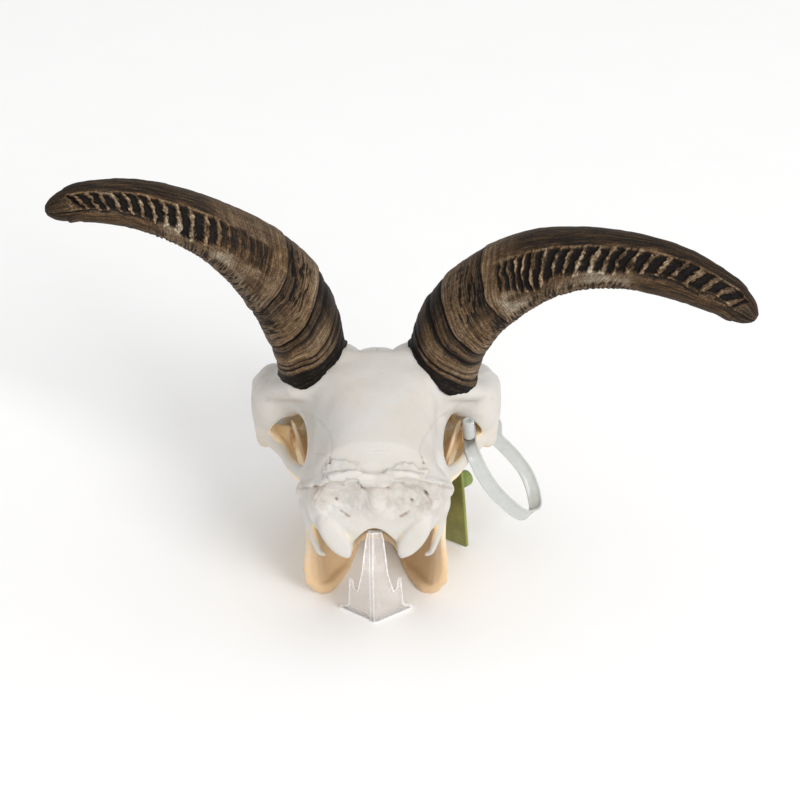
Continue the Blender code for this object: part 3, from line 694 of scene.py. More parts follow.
def tag_material():
    """Satin olive plastic, with a painted highlight along its cut edges."""
    n = Nodes("tag_plastic")
    cloud = n.noise(n.place(), 0.12, 3.0)
    fine = n.noise(n.place((1.0, 1.0, 0.3)), 1.4, 4.0)
    base = n.mix(n.span(cloud, 0.35, 0.65), (0.175, 0.185, 0.060), (0.235, 0.245, 0.085))
    base = n.mix(n.span(fine, 0.5, 0.8, 0.0, 0.3), base, (0.11, 0.125, 0.04))
    # painted highlight along the plate's long edges
    base = n.mix(n.value("edge"), base, (0.27, 0.31, 0.085))
    relief = n.bump(fine, 0.2, 0.0002)
    return n.set(Base_Color=base, Roughness=0.42, Normal=relief, Specular_IOR_Level=0.4)


def knob_material():
    """Brighter green plastic of the stud."""
    n = Nodes("knob_plastic")
    cloud = n.noise(n.place(), 0.3, 3.0)
    base = n.mix(n.span(cloud, 0.3, 0.7), (0.165, 0.225, 0.055), (0.215, 0.285, 0.075))
    relief = n.bump(n.noise(n.place(), 1.5, 3.0), 0.1, 0.0002)
    return n.set(Base_Color=base, Roughness=0.35, Normal=relief, Subsurface_Weight=0.1,
                 Subsurface_Radius=(0.6, 1.0, 0.3), Subsurface_Scale=0.002)


def floor_material():
    """Plain pale paper."""
    n = Nodes("paper_floor")
    fine = n.noise(n.place(), 0.02, 3.0)
    base = n.mix(n.span(fine, 0.3, 0.7), (0.955, 0.955, 0.955), (0.965, 0.965, 0.965))
    return n.set(Base_Color=base, Roughness=0.9, Specular_IOR_Level=0.1)


# ---------------------------------------------------------------- cranium

def core_field(field):
    """Distance to the lofted mid-line core, from its sections' radii round their middles."""
    angles = np.linspace(-math.pi / 2, math.pi / 2, 181)
    keys, radii, middles = [], [], []
    for f, half in CORE:
        mirrored = [(-x, z) for x, z in reversed(half[1:-1])]
        ring = spline([*half, *mirrored], 12, closed=True)
        ring = ring[ring[:, 0] >= -0.01]
        middle = (half[0][1] + half[-1][1]) / 2
        angle = np.arctan2(ring[:, 1] - middle, ring[:, 0])
        order = np.argsort(angle)
        radii.append(np.interp(angles, angle[order],
                               np.hypot(ring[:, 0], ring[:, 1] - middle)[order]))
        keys.append(f)
        middles.append(middle)
    keys, radii = np.array(keys), np.array(radii)
    x, f, z = field.axes
    table = np.stack([np.interp(f, keys, radii[:, k]) for k in range(len(angles))], 1)
    middle = np.interp(f, keys, middles)
    dz = z[None, :] - middle[:, None]
    for i, here in enumerate(x):
        turn = (np.arctan2(dz, max(here, 1e-6)) + math.pi / 2) / math.pi * (len(angles) - 1)
        k = np.clip(turn.astype(int), 0, len(angles) - 2)
        t = turn - k
        rows = np.arange(len(f))[:, None]
        r = table[rows, k] * (1 - t) + table[rows, k + 1] * t
        field.d[i] = np.hypot(here, dz) - r
    field.steady()
    ends = np.maximum(keys[0] - f, f - keys[-1])[None, :, None]
    field.d[:] = np.maximum(field.d, ends)


def add_occiput(rod, blob):
    """Hollow of the occiput, the crest over it, the condyles and the hooks beside them."""
    blob((14, -5.5, 54), (20, 11.5, 13), blend=4, cut_out=True)
    rod(((-9, 1.4, 71, 2.6, 2.6), (0, 3.4, 69, 2.4, 2.6), (9, 1.4, 71, 2.6, 2.6),
         (21, 3.2, 68.5, 2.6, 2.6), (31, 8.5, 61.5, 2.4, 2.6), (39.5, 16, 53, 1.9, 2.6)), blend=2.5)
    rod(((0, 3, 66, 3.0, 2.5), (0, 5.8, 58, 2.4, 2.5), (0, 7.6, 48, 2.6, 2.5)), (0, 1, 0), 4)
    blob((33.5, 22, 48), (6.5, 9, 13), blend=4)
    rod(((35, 17, 44, 4.5, 5), (33.8, 17, 30, 2.6, 4.2), (31.8, 19, 19, 1.9, 3.0),
         (30.0, 19.5, 13, 1.5, 2.1), (27.4, 20, 10.8, 1.3, 1.5)), (0, 1, 0), 2.5)
    blob((21.0, 6.6, 33.4), (7.0, 8.8, 15.4), (8, 30, 0), 0.8)
    rod(((18.6, 5.6, 34.5, 3.6, 4.6), (15.8, 5.0, 27.5, 3.2, 4.6), (14.6, 6.2, 20.8, 2.4, 3.2)),
        (0, 1, 0), 1.2)
    blob((23, 45, 17), (7.5, 13, 12), blend=2.5)
    rod(((24, 40, 30, 5, 5), (38, 39, 40, 4.4, 4.4)), (0, 1, 0), 3)
    blob((34.5, 58, 36.8), (7.4, 6.5, 4.6), blend=3)


def add_orbit(rod, blob):
    """Orbit and cheek bone."""
    blob((55.5, 104.5, 56.5), (14.2, 19.5, 22.0), (0, 6, 0), 5)
    rod(((40, 72, 84, 9, 7), (49, 86, 76, 11, 7), (57, 98, 68, 9, 6)), blend=6)
    rod(((54, 122, 64, 6, 5), (49.6, 129, 56, 6, 5), (46.6, 131, 43, 6.6, 5.5),
         (48.6, 127, 30, 6, 5.5)), (0, 1, 0), 4)
    rod(((31, 150, 20, 6, 9), (40.5, 140, 24.8, 6.5, 9), (49.4, 127, 27, 6, 7),
         (58, 112, 31.4, 5.2, 6.2), (62, 102, 36, 4.8, 7)), blend=3.5)
    blob((35, 114, 26), (9.5, 18, 10), blend=4)


def add_forehead(rod, blob):
    """Horn base, and the swelling that runs from it down the forehead."""
    blob((34, 87, 90), (17, 24.5, 13), (0, -8, 0), 5)
    rod(((20, 79, 95.0, 9, 7), (19.5, 86, 94.6, 9, 7), (19, 92, 92.4, 9, 7), (19, 100, 88.2, 9, 7),
         (19.5, 108, 83.4, 9, 7), (20.5, 118, 76.6, 9, 7), (22, 130, 67, 9, 7)), blend=7)


def add_palate(rod):
    """Wing plates behind the palate, the ridges over the teeth and the front bones."""
    rod(((12, 82, 26, 1.6, 8), (11, 89, 14, 1.5, 7), (11, 94, 4, 1.4, 5)), (0, 1, 0), 2)
    rod(((24.6, 104, 3, 4.2, 5.4), (25.6, 114, 2.6, 5.0, 5.4), (25.2, 132, 2.4, 5.0, 5.2),
         (23.6, 150, 2.4, 4.6, 5), (22, 165, 3, 3.8, 4.6)), blend=3)
    rod(((15, 172, 12, 3.6, 9), (14, 188, 9, 3.2, 7.5), (12.4, 202, 5.4, 3.2, 5),
         (10.4, 213, 3, 3.6, 3.0), (6.4, 221, 1.6, 3.6, 1.8)), blend=3)


def cut_openings(rod, blob):
    """Foramen, nose, palate's arch, orbit and the fossa behind it."""
    blob((0, 4, 17.8), (12.0, 24, 20.4), blend=0.8, cut_out=True)
    blob((6.4, 4, 24.5), (5.4, 24, 7.4), blend=0.8, cut_out=True)
    blob((0, 28, 34), (13, 19, 13), blend=3, cut_out=True)
    blob((0, 214, 20), (17, 30, 9.5), (-22, 0, 0), 2, cut_out=True)
    blob((0, 206, 20), (10, 36, 13), (-20, 0, 0), 2, cut_out=True)
    blob((0, 138, -4), (17, 46, 8), blend=3, cut_out=True)
    blob(ORBIT, ORBIT_RADII, (0, 0, -14), 2.5, cut_out=True)
    rod(((51.5, 104, 46, 7.5, 7.5), (50, 95, 45.6, 8.4, 8.6), (48.0, 88, 46, 9.8, 10.5),
         (43.2, 79, 43.6, 9.4, 12), (40.6, 69, 42, 7, 11), (39.6, 60, 43, 5, 9),
         (39, 53, 45, 3.4, 5)), blend=2, cut_out=True)


def add_arch(rod):
    """What stands in the openings: the cheek arch with its shelf, walls and ledges."""
    rod(((62.4, 106, 34.4, 4.6, 5.4), (62.6, 100, 39, 4.6, 7.4), (57.8, 94, 39.2, 4.0, 5.6),
         (54.0, 87, 38.8, 3.4, 4.8), (50.6, 80, 38.4, 3.0, 4.0), (48.8, 73, 38.6, 2.8, 3.9),
         (46.4, 65, 39.4, 2.8, 4.0), (42.6, 57, 40.2, 3.2, 4.6), (38.2, 49, 42.4, 4, 5.4),
         (32, 41, 46, 7, 7)), blend=2.5)
    rod(((53.4, 93, 36.2, 6.4, 2.2), (49.7, 84, 36.0, 4.8, 1.9), (46.9, 75, 36.4, 3.8, 1.7),
         (45.0, 67, 37.2, 2.6, 1.7)), (0.25, 0, 0.97), 2)
    rod(((60, 101, 38.5, 2.4, 6.5), (54, 95.5, 39.6, 2.0, 6.2), (48.6, 91, 41.6, 1.6, 6.4)),
        (0, 0.5, 0.87), 2.5)
    rod(((62, 99, 60, 5, 6), (63.4, 99, 52, 4.6, 5), (63.2, 99, 44, 4.4, 5)), (0, 1, 0), 4)
    # front wall of the orbit
    rod(((39.0, 131.0, 62, 4.5, 2.6), (40.5, 131.8, 52, 6, 2.6), (40.5, 131.8, 43, 6, 2.6),
         (40.5, 133.0, 34, 5, 3)), (0, 1, 0), 3)
    # tuber behind the tooth row, in the depth of the fossa
    rod(((43.5, 104, 33, 4.6, 6.5), (48.0, 103, 30, 4.2, 6.0), (52.5, 102, 27, 3.6, 5.0)),
        (0, 1, 0), 3)
    # ledge of the temporal line over the fossa, and the rear root of the orbit's roof
    rod(((40, 90, 69, 8, 7.5), (35.5, 84, 66, 8, 7.5), (31, 75, 62, 8, 7.5),
         (28.6, 62, 58, 8.4, 7.5), (28.6, 46, 54, 8.4, 7.5)), blend=7)
    rod(((38, 89, 68, 8, 8), (44, 92, 66, 8, 8.2), (50, 95, 63, 7, 8), (57, 97, 61.5, 6, 8)),
        blend=5)


def cranium_field():
    """The left half of the bone, mirrored, with the foot of each horn's core."""
    field = Field((0, -8, -14), (76, 226, 116))
    core_field(field)
    rod, blob = field.rod, field.blob
    add_occiput(rod, blob)
    add_orbit(rod, blob)
    add_forehead(rod, blob)
    add_palate(rod)
    cut_openings(rod, blob)
    add_arch(rod)
    both = field.mirrored()
    for axis in (HORN_LEFT, HORN_RIGHT):
        both.rod([(x, f, z, 0.86 * wide, 0.88 * deep) for x, f, z, wide, deep in axis[:2]],
                 (0, 1, 0), 2)
    return both


def line_distance(where, path):
    """Distance of flat points from a chain of straight lines."""
    px, py = where
    best = np.full(len(px), 1e9)
    for (x0, y0), (x1, y1) in zip(path, path[1:]):
        dx, dy = x1 - x0, y1 - y0
        t = np.clip(((px - x0) * dx + (py - y0) * dy) / max(dx * dx + dy * dy, 1e-9), 0, 1)
        best = np.minimum(best, np.hypot(px - x0 - t * dx, py - y0 - t * dy))
    return best


def near_line(where, path, width):
    """1 on a chain of lines, falling to 0 at a width from it."""
    return np.clip(1 - line_distance(where, path) / width, 0, 1)


def near_spot(where, at, radii):
    """1 in the middle of an oval spot, falling to 0 at its edge."""
    px, py = where
    return np.clip(1 - np.hypot((px - at[0]) / radii[0], (py - at[1]) / radii[1]), 0, 1)


# Slits of the back of the head in pixels of the picture: points, width and strength.
SUTURES = (
    (((313.5, 487), (318, 486.3), (323, 486.8)), 1.6, 1.0),
    (((322, 489), (318.5, 496), (314, 503)), 0.9, 0.4),
    (((424.5, 491.5), (427, 495)), 1.6, 1.0), (((427, 495), (429.5, 500), (432, 506)), 0.8, 0.5),
    (((340, 510.5), (344, 513), (349.5, 516.5)), 1.4, 0.8),
    (((400.5, 516.5), (405, 514), (409, 511.5)), 1.4, 0.8),
    (((329.5, 457), (330.5, 464)), 0.8, 0.6), (((309, 452), (323, 454.5), (329, 459)), 0.6, 0.2),
    (((424, 462), (421, 455)), 0.7, 0.5), (((312, 500), (326, 502), (340, 509)), 0.5, 0.2),
    (((440, 498), (427, 503), (411, 510)), 0.5, 0.2),
)
# Temporal lines, and small holes with their radius.
TEMPORAL = (
    ((301, 411), (312, 415), (321, 421), (328, 431), (331, 442), (331, 452)),
    ((450, 411), (438, 419), (430, 428), (422, 441), (419, 453)),
)
HOLES = (((336.5, 499.6), 1.7), ((411.5, 500.4), 1.7), ((425.5, 494), 2.2), ((330, 463.4), 1.3),
         ((424, 462.5), 1.3), ((362.5, 489), 2.2), ((387, 489), 2.2))
# Middles and radii of the two raised patches, the crumpled middle and the wrinkles over it.
LUMPS = (((341, 471), (21, 12)), ((406, 473), (20, 11)))
CRUMPLE = ((374, 490), (11, 7))
WRINKLES = ((376, 452), (13, 5))
# The ragged crest, how far it runs across, and the rough grey band under it.
CREST = ((296, 487), (304, 486), (313, 488), (320, 487), (327, 483), (336, 481.5), (343, 481.5),
         (347, 479), (353, 479.5), (359, 482), (363, 486), (370, 488), (380, 488), (388, 487),
         (393, 483), (399, 480), (406, 478.5), (414, 479.5), (423, 481), (433, 483),
         (444, 484.5), (456, 486))
CREST_ACROSS = ((294, 302), (458, 450))
BAND_ACROSS = ((304, 318), (452, 440))
BAND_DOWN = ((478, 486), (532, 506))
REAR = 34                             # only bone behind this takes the rear's marks


def swell(where, zone):
    """1 in the middle of an oval zone of the picture, falling off softly."""
    middle, size = zone
    return bell(where[0], middle[0], size[0]) * bell(where[1], middle[1], size[1])


def carve_back(points, where, facing):
    """Relief of the bone seen from behind: returns heights, stains with painted shade, and the grey
    band.
    """
    px, py = where
    behind = facing * (points[:, 1] < REAR)
    height = np.zeros(len(points))
    stain_and_shade = np.zeros(len(points))
    rough = fractal(points, 4.2, 31, 4)
    fine = fractal(points, 1.9, 37, 3)
    for at, radii in LUMPS:
        near = 1 - np.hypot((px - at[0]) / radii[0], (py - at[1]) / radii[1]) + 0.45 * rough
        height += smooth(0.0, 0.22, near) * behind * (1.3 + 0.9 * rough)
        stain_and_shade = np.maximum(stain_and_shade, 0.16 * bell(near, 0.02, 0.07) * behind)
    # ragged crest: a lip over the rough rear face
    below = (py - along_table(CREST, px) - 1.1 * fine - 0.6 * rough) / 1.9
    across = window(px, *CREST_ACROSS) * behind
    lip = smooth(0.35, -0.35, below) * np.exp(np.minimum(below, 0) / 1.6)
    under = smooth(-0.2, 0.5, below) * np.exp(-np.maximum(below, 0) / 2.6)
    height += across * (1.25 * lip - 1.3 * under)
    # the darkening just under the lip is painted shadow beneath the crest
    stain_and_shade = np.maximum(stain_and_shade, across * 0.30 * under)
    band = window(py, *BAND_DOWN) * window(px, *BAND_ACROSS) * behind
    height += band * (1.05 * rough + 0.50 * fine)
    for path, width, strength in SUTURES:
        mark = near_line(where, path, width + 0.8) * behind
        mark = mark + np.where(mark > 0, 0.5 * fine, 0)
        height -= 0.6 * strength * smooth(0, 0.8, mark)
        stain_and_shade = np.maximum(stain_and_shade, 0.85 * strength * smooth(0.3, 0.9, mark))
    for path in TEMPORAL:
        mark = near_line(where, path, 2.6) * facing
        height -= 0.25 * smooth(0, 1, mark)
        stain_and_shade = np.maximum(stain_and_shade, 0.09 * smooth(0.3, 1.0, mark))
    # the small holes are darkened: painted shade inside them
    for at, size in HOLES:
        hole = near_spot(where, at, (size + 0.6, size + 0.6)) * behind
        height -= 1.3 * smooth(0, 0.7, hole)
        stain_and_shade = np.maximum(stain_and_shade, 0.9 * smooth(0.2, 0.7, hole))
    crumple = swell(where, CRUMPLE) * behind
    height -= crumple * (0.5 + 1.1 * rough)
    stain_and_shade = np.maximum(stain_and_shade, 0.25 * crumple * smooth(0.1, 0.6, rough))
    height += 0.12 * swell(where, WRINKLES) * facing * np.sin(py * 1.7 + 2.0 * fine)
    return height, stain_and_shade, band


# Seams of the face in millimetres: from above (side, forward) and from the side (forward, up).
FACE_TOP = (
    ((0, 132), (0.5, 150), (-0.4, 172), (0, 197)),
    ((0, 124), (3, 128), (6, 124), (9, 129), (12, 124), (15.5, 122)),
    ((15.5, 122), (14.6, 140), (13.4, 158), (12, 176), (11, 190)),
    ((15.5, 122), (22, 125), (29, 123), (35, 127)),
)
FACE_SIDE = (
    ((133, 58), (140, 56), (146, 49), (149, 41), (150, 31)),
    ((134, 39), (142, 35), (150, 31), (153, 24), (148, 16), (139, 11), (129, 9)),
    ((196, 24), (190, 17), (186, 9), (181, 2), (179, -6)),
)
BROW_HOLE, CHEEK_HOLE, CHIN_HOLE = (21.5, 112.0), (163.0, 15.0), (193.0, -21.0)


def carve_face(points, out):
    """Seams, nerve holes and the orbit's rim, on what the picture's camera doesn't see."""
    side = np.abs(points[:, 0])
    f, z = points[:, 1], points[:, 2]
    fine = fractal(points, 2.2, 61, 3)
    height, stain_and_shade = np.zeros(len(points)), np.zeros(len(points))
    above = smooth(0.15, 0.45, out[:, 2]) * smooth(12, 24, z)
    beside = smooth(0.35, 0.6, np.abs(out[:, 0])) * smooth(124, 128, f)
    for paths, where, on in ((FACE_TOP, (side + 0.7 * fine, f + 0.8 * fine), above),
                             (FACE_SIDE, (f + 0.8 * fine, z + 0.8 * fine), beside)):
        for path in paths:
            mark = near_line(where, path, 1.5) * on
            height -= 0.35 * smooth(0, 0.8, mark)
            stain_and_shade = np.maximum(stain_and_shade, 0.34 * smooth(0.25, 0.9, mark))
    brow = near_spot((side, f), BROW_HOLE, (2.6, 3.2)) * above
    cheek = near_spot((f, z), CHEEK_HOLE, (4.2, 3.0)) * beside
    hole = np.maximum(brow, cheek)
    # the nerve holes are darkened: painted shade inside them
    height -= 2.6 * smooth(0, 0.6, hole)
    stain_and_shade = np.maximum(stain_and_shade, 0.75 * smooth(0.2, 0.7, hole))
    groove = near_line((side, f), (BROW_HOLE, (20.5, 122), (18.0, 132)), 3.4) * above
    height -= 0.6 * smooth(0, 1, groove)
    ring = np.hypot((f - ORBIT[1]) / ORBIT_RADII[1], (z - ORBIT[2]) / ORBIT_RADII[2])
    rim = smooth(44, 56, side) * smooth(103, 110, f)
    height += rim * (0.9 * bell(ring, 1.10, 0.10) - 0.5 * bell(ring, 1.42, 0.16))
    return height, stain_and_shade


# Where the bone's relief starts to be eased back at each end, and the end itself.
REAR_EASE, REAR_END = 3.0, -0.6
FRONT_EASE, FRONT_END = 218.0, 221.4


def within_length(points):
    """Ease the rear lip and the front tips back, so that the length stays the skull's own."""
    f = points[:, 1]
    back, ahead = REAR_EASE - REAR_END, FRONT_END - FRONT_EASE
    eased = REAR_END + back * np.exp((np.minimum(f, REAR_EASE) - REAR_EASE) / back)
    f = np.where(f < REAR_EASE, eased, f)
    eased = FRONT_END - ahead * np.exp((FRONT_EASE - np.maximum(f, FRONT_EASE)) / ahead)
    points[:, 1] = np.where(f > FRONT_EASE, eased, f)


def bone_tones(points, out, closed, dome, band):
    """Tan of the hollows, undersides and inner faces, a painted warm glow of their shade; grey of
    the weathered bone; and painted shade deeper inside the foramen.
    """
    side, f, z = np.abs(points[:, 0]), points[:, 1], points[:, 2]
    # the tan is a painted warm glow of shade: the more closed in a place is, the more tan, except
    # on the vault
    tan = 0.9 * smooth(0.34, 0.72, closed) * (1 - dome)
    # in the pit behind the orbit even the open walls get the painted warm glow
    pit = window(side, (35, 39), (60, 54)) * window(f, (58, 64), (114, 106)) * smooth(60, 52, z)
    tan = np.maximum(tan, pit * smooth(0.12, 0.34, closed))
    # so do the undersides of the ledge over the fossa, as painted shade because they face down
    fossa = window(side, (12, 20), (52, 44)) * window(f, (38, 50), (112, 98)) * smooth(62, 50, z)
    tan = np.maximum(tan, 0.8 * fossa * smooth(0.05, -0.1, out[:, 2]))
    # the inside of the foramen is tan too, as painted shade
    tunnel = smooth(13.4, 11.6, side) * smooth(35, 31, z) * window(f, (5, 9), (70, 50))
    tan = np.maximum(tan, tunnel)
    # and so are the inward faces of the cheek arch, as painted shade
    arch = smooth(36, 42, side) * window(f, (50, 60), (104, 96)) * smooth(49, 44, z)
    inward = smooth(0.5, 0.05, out[:, 0] * np.sign(points[:, 0]))
    tan = np.maximum(tan, (0.14 + 0.42 * inward) * arch)
    grey = 0.62 * band * smooth(-0.4, 0.3, fractal(points, 6.0, 41))
    spots = smooth(0.15, 0.6, fractal(points, 3.0, 43, 4)) * smooth(40, 52, side)
    grey = np.maximum(grey, 0.45 * spots * smooth(48, 66, z))
    # deeper inside the foramen the bone is darkened: painted shade
    return tan, grey, 0.35 * tunnel * smooth(6, 14, f)


DOME_RELAX = 60                       # times that the vault is smoothed
DIP, DIP_WIDTH = 3.6, 8.5             # depth and half width of the dip between the horns
PROBES = (4.0, 8.0, 13.0)             # how far out from the bone it is felt whether it is closed in


def make_cranium(material):
    """The cranium's bone; returns its field, which the horns sit on."""
    field = cranium_field()
    points, quads = skin(field)
    points = relax(points, quads, 4)
    # the vault is one smooth dome, a little lower between the horns
    side, f, z = np.abs(points[:, 0]), points[:, 1], points[:, 2]
    dome = smooth(42, 32, side) * window(f, (17, 29), (190, 160)) * smooth(40, 52, z)
    points += (relax(points, quads, DOME_RELAX) - points) * dome[:, None]
    across = np.exp(-(points[:, 0] / DIP_WIDTH) ** 4)
    points[:, 2] -= DIP * dome * across * smooth(84, 104, points[:, 1])
    out = normals(points, quads)
    where = photo(points)
    view = points - EYE
    view /= np.linalg.norm(view, axis=1, keepdims=True)
    facing = smooth(0.05, -0.25, np.sum(out * view, axis=1))
    # how closed in each place is; it sets the painted warm glow of the hollows
    closed = sum(np.clip(1 - field.at(points + out * r) / r, 0, 1.2) for r in PROBES) / 3
    height, stain_and_shade, band = carve_back(points, where, facing)
    height += 0.14 * fractal(points, 9.0, 3) + 0.05 * fractal(points, 2.5, 5)
    face, seams_and_hole_shade = carve_face(points, out)
    points = points + out * (height + face)[:, None]
    within_length(points)
    tan, grey, foramen_shade = bone_tones(points, out, closed, dome, band)
    # the stains, with the painted shade of the holes, under the crest and deep in the foramen
    stain_and_shade = np.maximum(np.maximum(stain_and_shade, seams_and_hole_shade), foramen_shade)
    add_piece("cranium_bone", points, quads, material, ("cranium",),
              {"tan": tan, "grey": grey, "stain_and_shade": stain_and_shade})
    return field


# ---------------------------------------------------------------- lower jaw

def jaw_field():
    """The left half of the lower jaw: a bent blade by slices, with its knuckle and tooth row."""
    field = Field((0, 44, -47), (62, 226, 66))
    keys = np.array([row[0] for row in JAW])
    flat = np.array([(*row[1], *row[2], row[3], row[4]) for row in JAW])
    x, f, z = (axis.astype(np.float32) for axis in field.axes)
    t = np.linspace(0, 1, 22) ** 2.2
    for j, here in enumerate(f):
        lx, lz, hx, hz, half, bend = (np.interp(here, keys, flat[:, k]) for k in range(6))
        lz += half
        hz -= half
        flare = 8.0 * smooth(26, 56, lz + (hz - lz) * t)
        cx = lx + (hx - flare[-1] - lx) * t ** bend + flare
        cz = lz + (hz - lz) * t
        best = np.full((len(x), len(z)), 1e3, np.float32)
        for i in range(len(t) - 1):
            ux, uz = cx[i + 1] - cx[i], cz[i + 1] - cz[i]
            px, pz = x[:, None] - cx[i], z[None, :] - cz[i]
            k = np.clip((px * ux + pz * uz) / max(ux * ux + uz * uz, 1e-9), 0, 1)
            thin = 1 - 0.58 * smooth(12, 32, cz[i]) if here < 96 else 1.0
            best = np.minimum(best, np.hypot(px - k * ux, pz - k * uz) - max(half * thin, 1.25))
        field.d[:, j] = best
    field.steady()
    ends = np.maximum(keys[0] - f, f - keys[-1])[None, :, None]
    field.d[:] = np.maximum(field.d, ends)
    rod = field.rod
    rod(((30.0, 60, 27, 3.6, 2.8), (35.4, 58.5, 28, 4.4, 3.2), (40.4, 58, 27.5, 3.0, 2.6)), blend=3)
    rod(((24.6, 101, -14, 3.4, 4), (24.4, 113, -17.5, 4.4, 4.2), (22.8, 133, -17.6, 4.2, 4),
         (20.6, 150, -17.4, 3.6, 4), (18.6, 162, -17, 2.8, 3.6)), blend=3)
    rod(((4.4, 204, -9.6, 4.2, 3.0), (5.2, 211, -5.8, 5.2, 2.2), (5.6, 213, -5, 5.4, 1.8)),
        blend=3)
    field.d[:] = np.maximum(field.d, (0.25 - x)[:, None, None])
    field.d[:] = np.maximum(field.d, (FLOOR + 0.05 - z)[None, None, :])
    return field


# Height and place of the rear edge of the jaw's upper process.
REAR_EDGE = ((27, 58), (28.5, 62), (31.5, 67), (35, 71), (39.5, 75), (44.5, 79), (50, 83),
             (54.5, 86))


def make_jaws(material):
    """Both halves of the lower jaw, each with its own relief and tones."""
    points, quads = skin(jaw_field())
    free = smooth(FLOOR + 0.6, FLOOR + 1.6, points[:, 2])      # 0 on the flats it rests on
    points = toward(points, relax(points, quads, 3), free[:, None])
    out = normals(points, quads)
    for name, side in (("left", 1.0), ("right", -1.0)):
        seed = 11 if side > 0 else 23
        f, z = points[:, 1], points[:, 2]
        outer = smooth(0.3, 0.6, out[:, 0])
        grow = 0.12 * fractal(points, 7.0, seed) * free * smooth(0.4, 1.5, points[:, 0])
        # hollow of the chewing muscle with its ridges, and the chin's nerve hole
        hollow = smooth(1.0, 0.7, np.hypot((f - 72) / 24, (z + 2) / 26)) * outer
        ridges = np.sin((f + 0.5 * z) * 0.9 + 2.0 * fractal(points, 9.0, seed + 3))
        seat = smooth(78, 60, f) * window(z, (-42, -36), (-14, -26)) * outer
        grow = grow - 0.9 * hollow + 0.22 * seat * ridges
        nerve = near_spot((f, z), CHIN_HOLE, (3.4, 1.9)) * outer
        grow = grow - 1.6 * smooth(0, 0.7, nerve)
        made = (points + out * grow[:, None]) * (side, 1, 1)
        mottle = fractal(points, 11.0, seed + 7)
        tan = 0.22 + 0.68 * smooth(6, -22, z + 6 * mottle)
        # the upper process is tan: painted shade on its faces, with its rear edge kept pale as a
        # painted lit edge
        tan = np.maximum(tan, 0.95 * smooth(26, 33, z))
        edge = f - along_table(REAR_EDGE, z)
        tan = tan * (1 - 0.9 * smooth(24, 30, z) * smooth(1.7, 0.7, edge))
        # the chin's nerve hole is darkened: painted shade inside it
        add_piece("jaw_bone_" + name, made, quads, material, ("mandible_" + name,),
                  {"tan": tan, "grey": 0 * z, "stain_and_shade": 0.6 * smooth(0.2, 0.7, nerve)},
                  flip=side > 0)


# ---------------------------------------------------------------- horns

HORN_ROWS = 620
HORN_COLUMNS = 250
GRAIN = 12.0                          # radius of the round grain coordinates
INSET = 0.40                          # keeps the relief inside the horn's own form
SEAT = 1.3                            # height of the sheath over the bone at its foot
LIP = 2.4                             # how far the rim may lie inside the bone's edge
# Growth lines of each horn: distance along the axis at the upper edge, and how much lower the
# line lies on the rear near the lower edge. They are the rim and two yearly steps.
LEFT_LINES = ((18.5, 14.5), (65.0, 21.5), (90.0, 16.5))
RIGHT_LINES = ((21.0, 20.0), (58.0, 14.5), (84.5, 9.0))
# Rings from the rim (0) over the first step (1) and second step (2): place, height, tone.
# On the base side of each yearly step the tone dips dark and on its tip side it turns pale: painted
# shadow under the step and painted light on its lip, over the horn's own bands.
LEFT_RINGS = (
    (0.00, 0.0, 0.16), (0.33, 0.1, 0.20), (0.36, 0.5, 0.60), (0.42, 0.5, 0.66),
    (0.445, -0.4, 0.16), (0.47, 0.3, 0.60), (0.515, 0.2, 0.64), (0.54, -0.5, 0.13),
    (0.57, 0.3, 0.66), (0.66, 0.6, 0.74), (0.72, 0.5, 0.66), (0.80, 0.0, 0.46),
    (0.84, -0.7, 0.10), (0.87, 0.2, 0.46), (0.93, 0.3, 0.50), (0.965, 0.0, 0.34),
    (0.992, -1.1, 0.06), (1.012, 0.8, 0.66), (1.06, 1.0, 0.68), (1.2, 0.6, 0.62),
    (1.5, 0.3, 0.60), (1.8, 0.1, 0.50), (1.95, -0.2, 0.38), (1.985, -1.0, 0.10),
    (2.015, 0.6, 0.70), (2.06, 0.7, 0.58), (2.25, 0.3, 0.52), (3.0, 0.0, 0.52),
)
RIGHT_RINGS = (
    (0.00, 0.0, 0.15), (0.26, 0.1, 0.20), (0.29, 0.4, 0.58), (0.34, 0.4, 0.64),
    (0.365, -0.5, 0.12), (0.40, 0.3, 0.62), (0.47, 0.5, 0.70), (0.50, 0.1, 0.50),
    (0.53, 0.5, 0.70), (0.66, 0.5, 0.66), (0.70, 0.1, 0.42), (0.735, -0.8, 0.08),
    (0.77, 0.2, 0.46), (0.88, 0.3, 0.50), (0.95, 0.0, 0.34), (0.990, -1.0, 0.06),
    (1.012, 0.8, 0.62), (1.07, 0.9, 0.62), (1.3, 0.5, 0.60), (1.6, 0.2, 0.54),
    (1.9, 0.0, 0.44), (1.955, -0.2, 0.34), (1.985, -0.9, 0.08), (2.015, 0.6, 0.64),
    (2.10, 0.5, 0.60), (2.4, 0.2, 0.54), (3.0, 0.0, 0.50),
)
# Middles of the pits between the ladder's rungs, along the axis.
LEFT_PITS = (95, 100, 104.5, 109, 114, 119.5, 125.9, 132.4, 141, 148.4, 156.6, 163.1, 169.2,
             175.2, 180.8, 186.9, 191.6, 196.8, 202)
RIGHT_PITS = (90.5, 94.8, 99.1, 103, 106.8, 112.6, 118.7, 124.8, 130.9, 137.8, 144.6, 151,
              157.3, 164.4, 171.4, 178.4, 185.5, 193.9, 202.3, 209.2, 216)


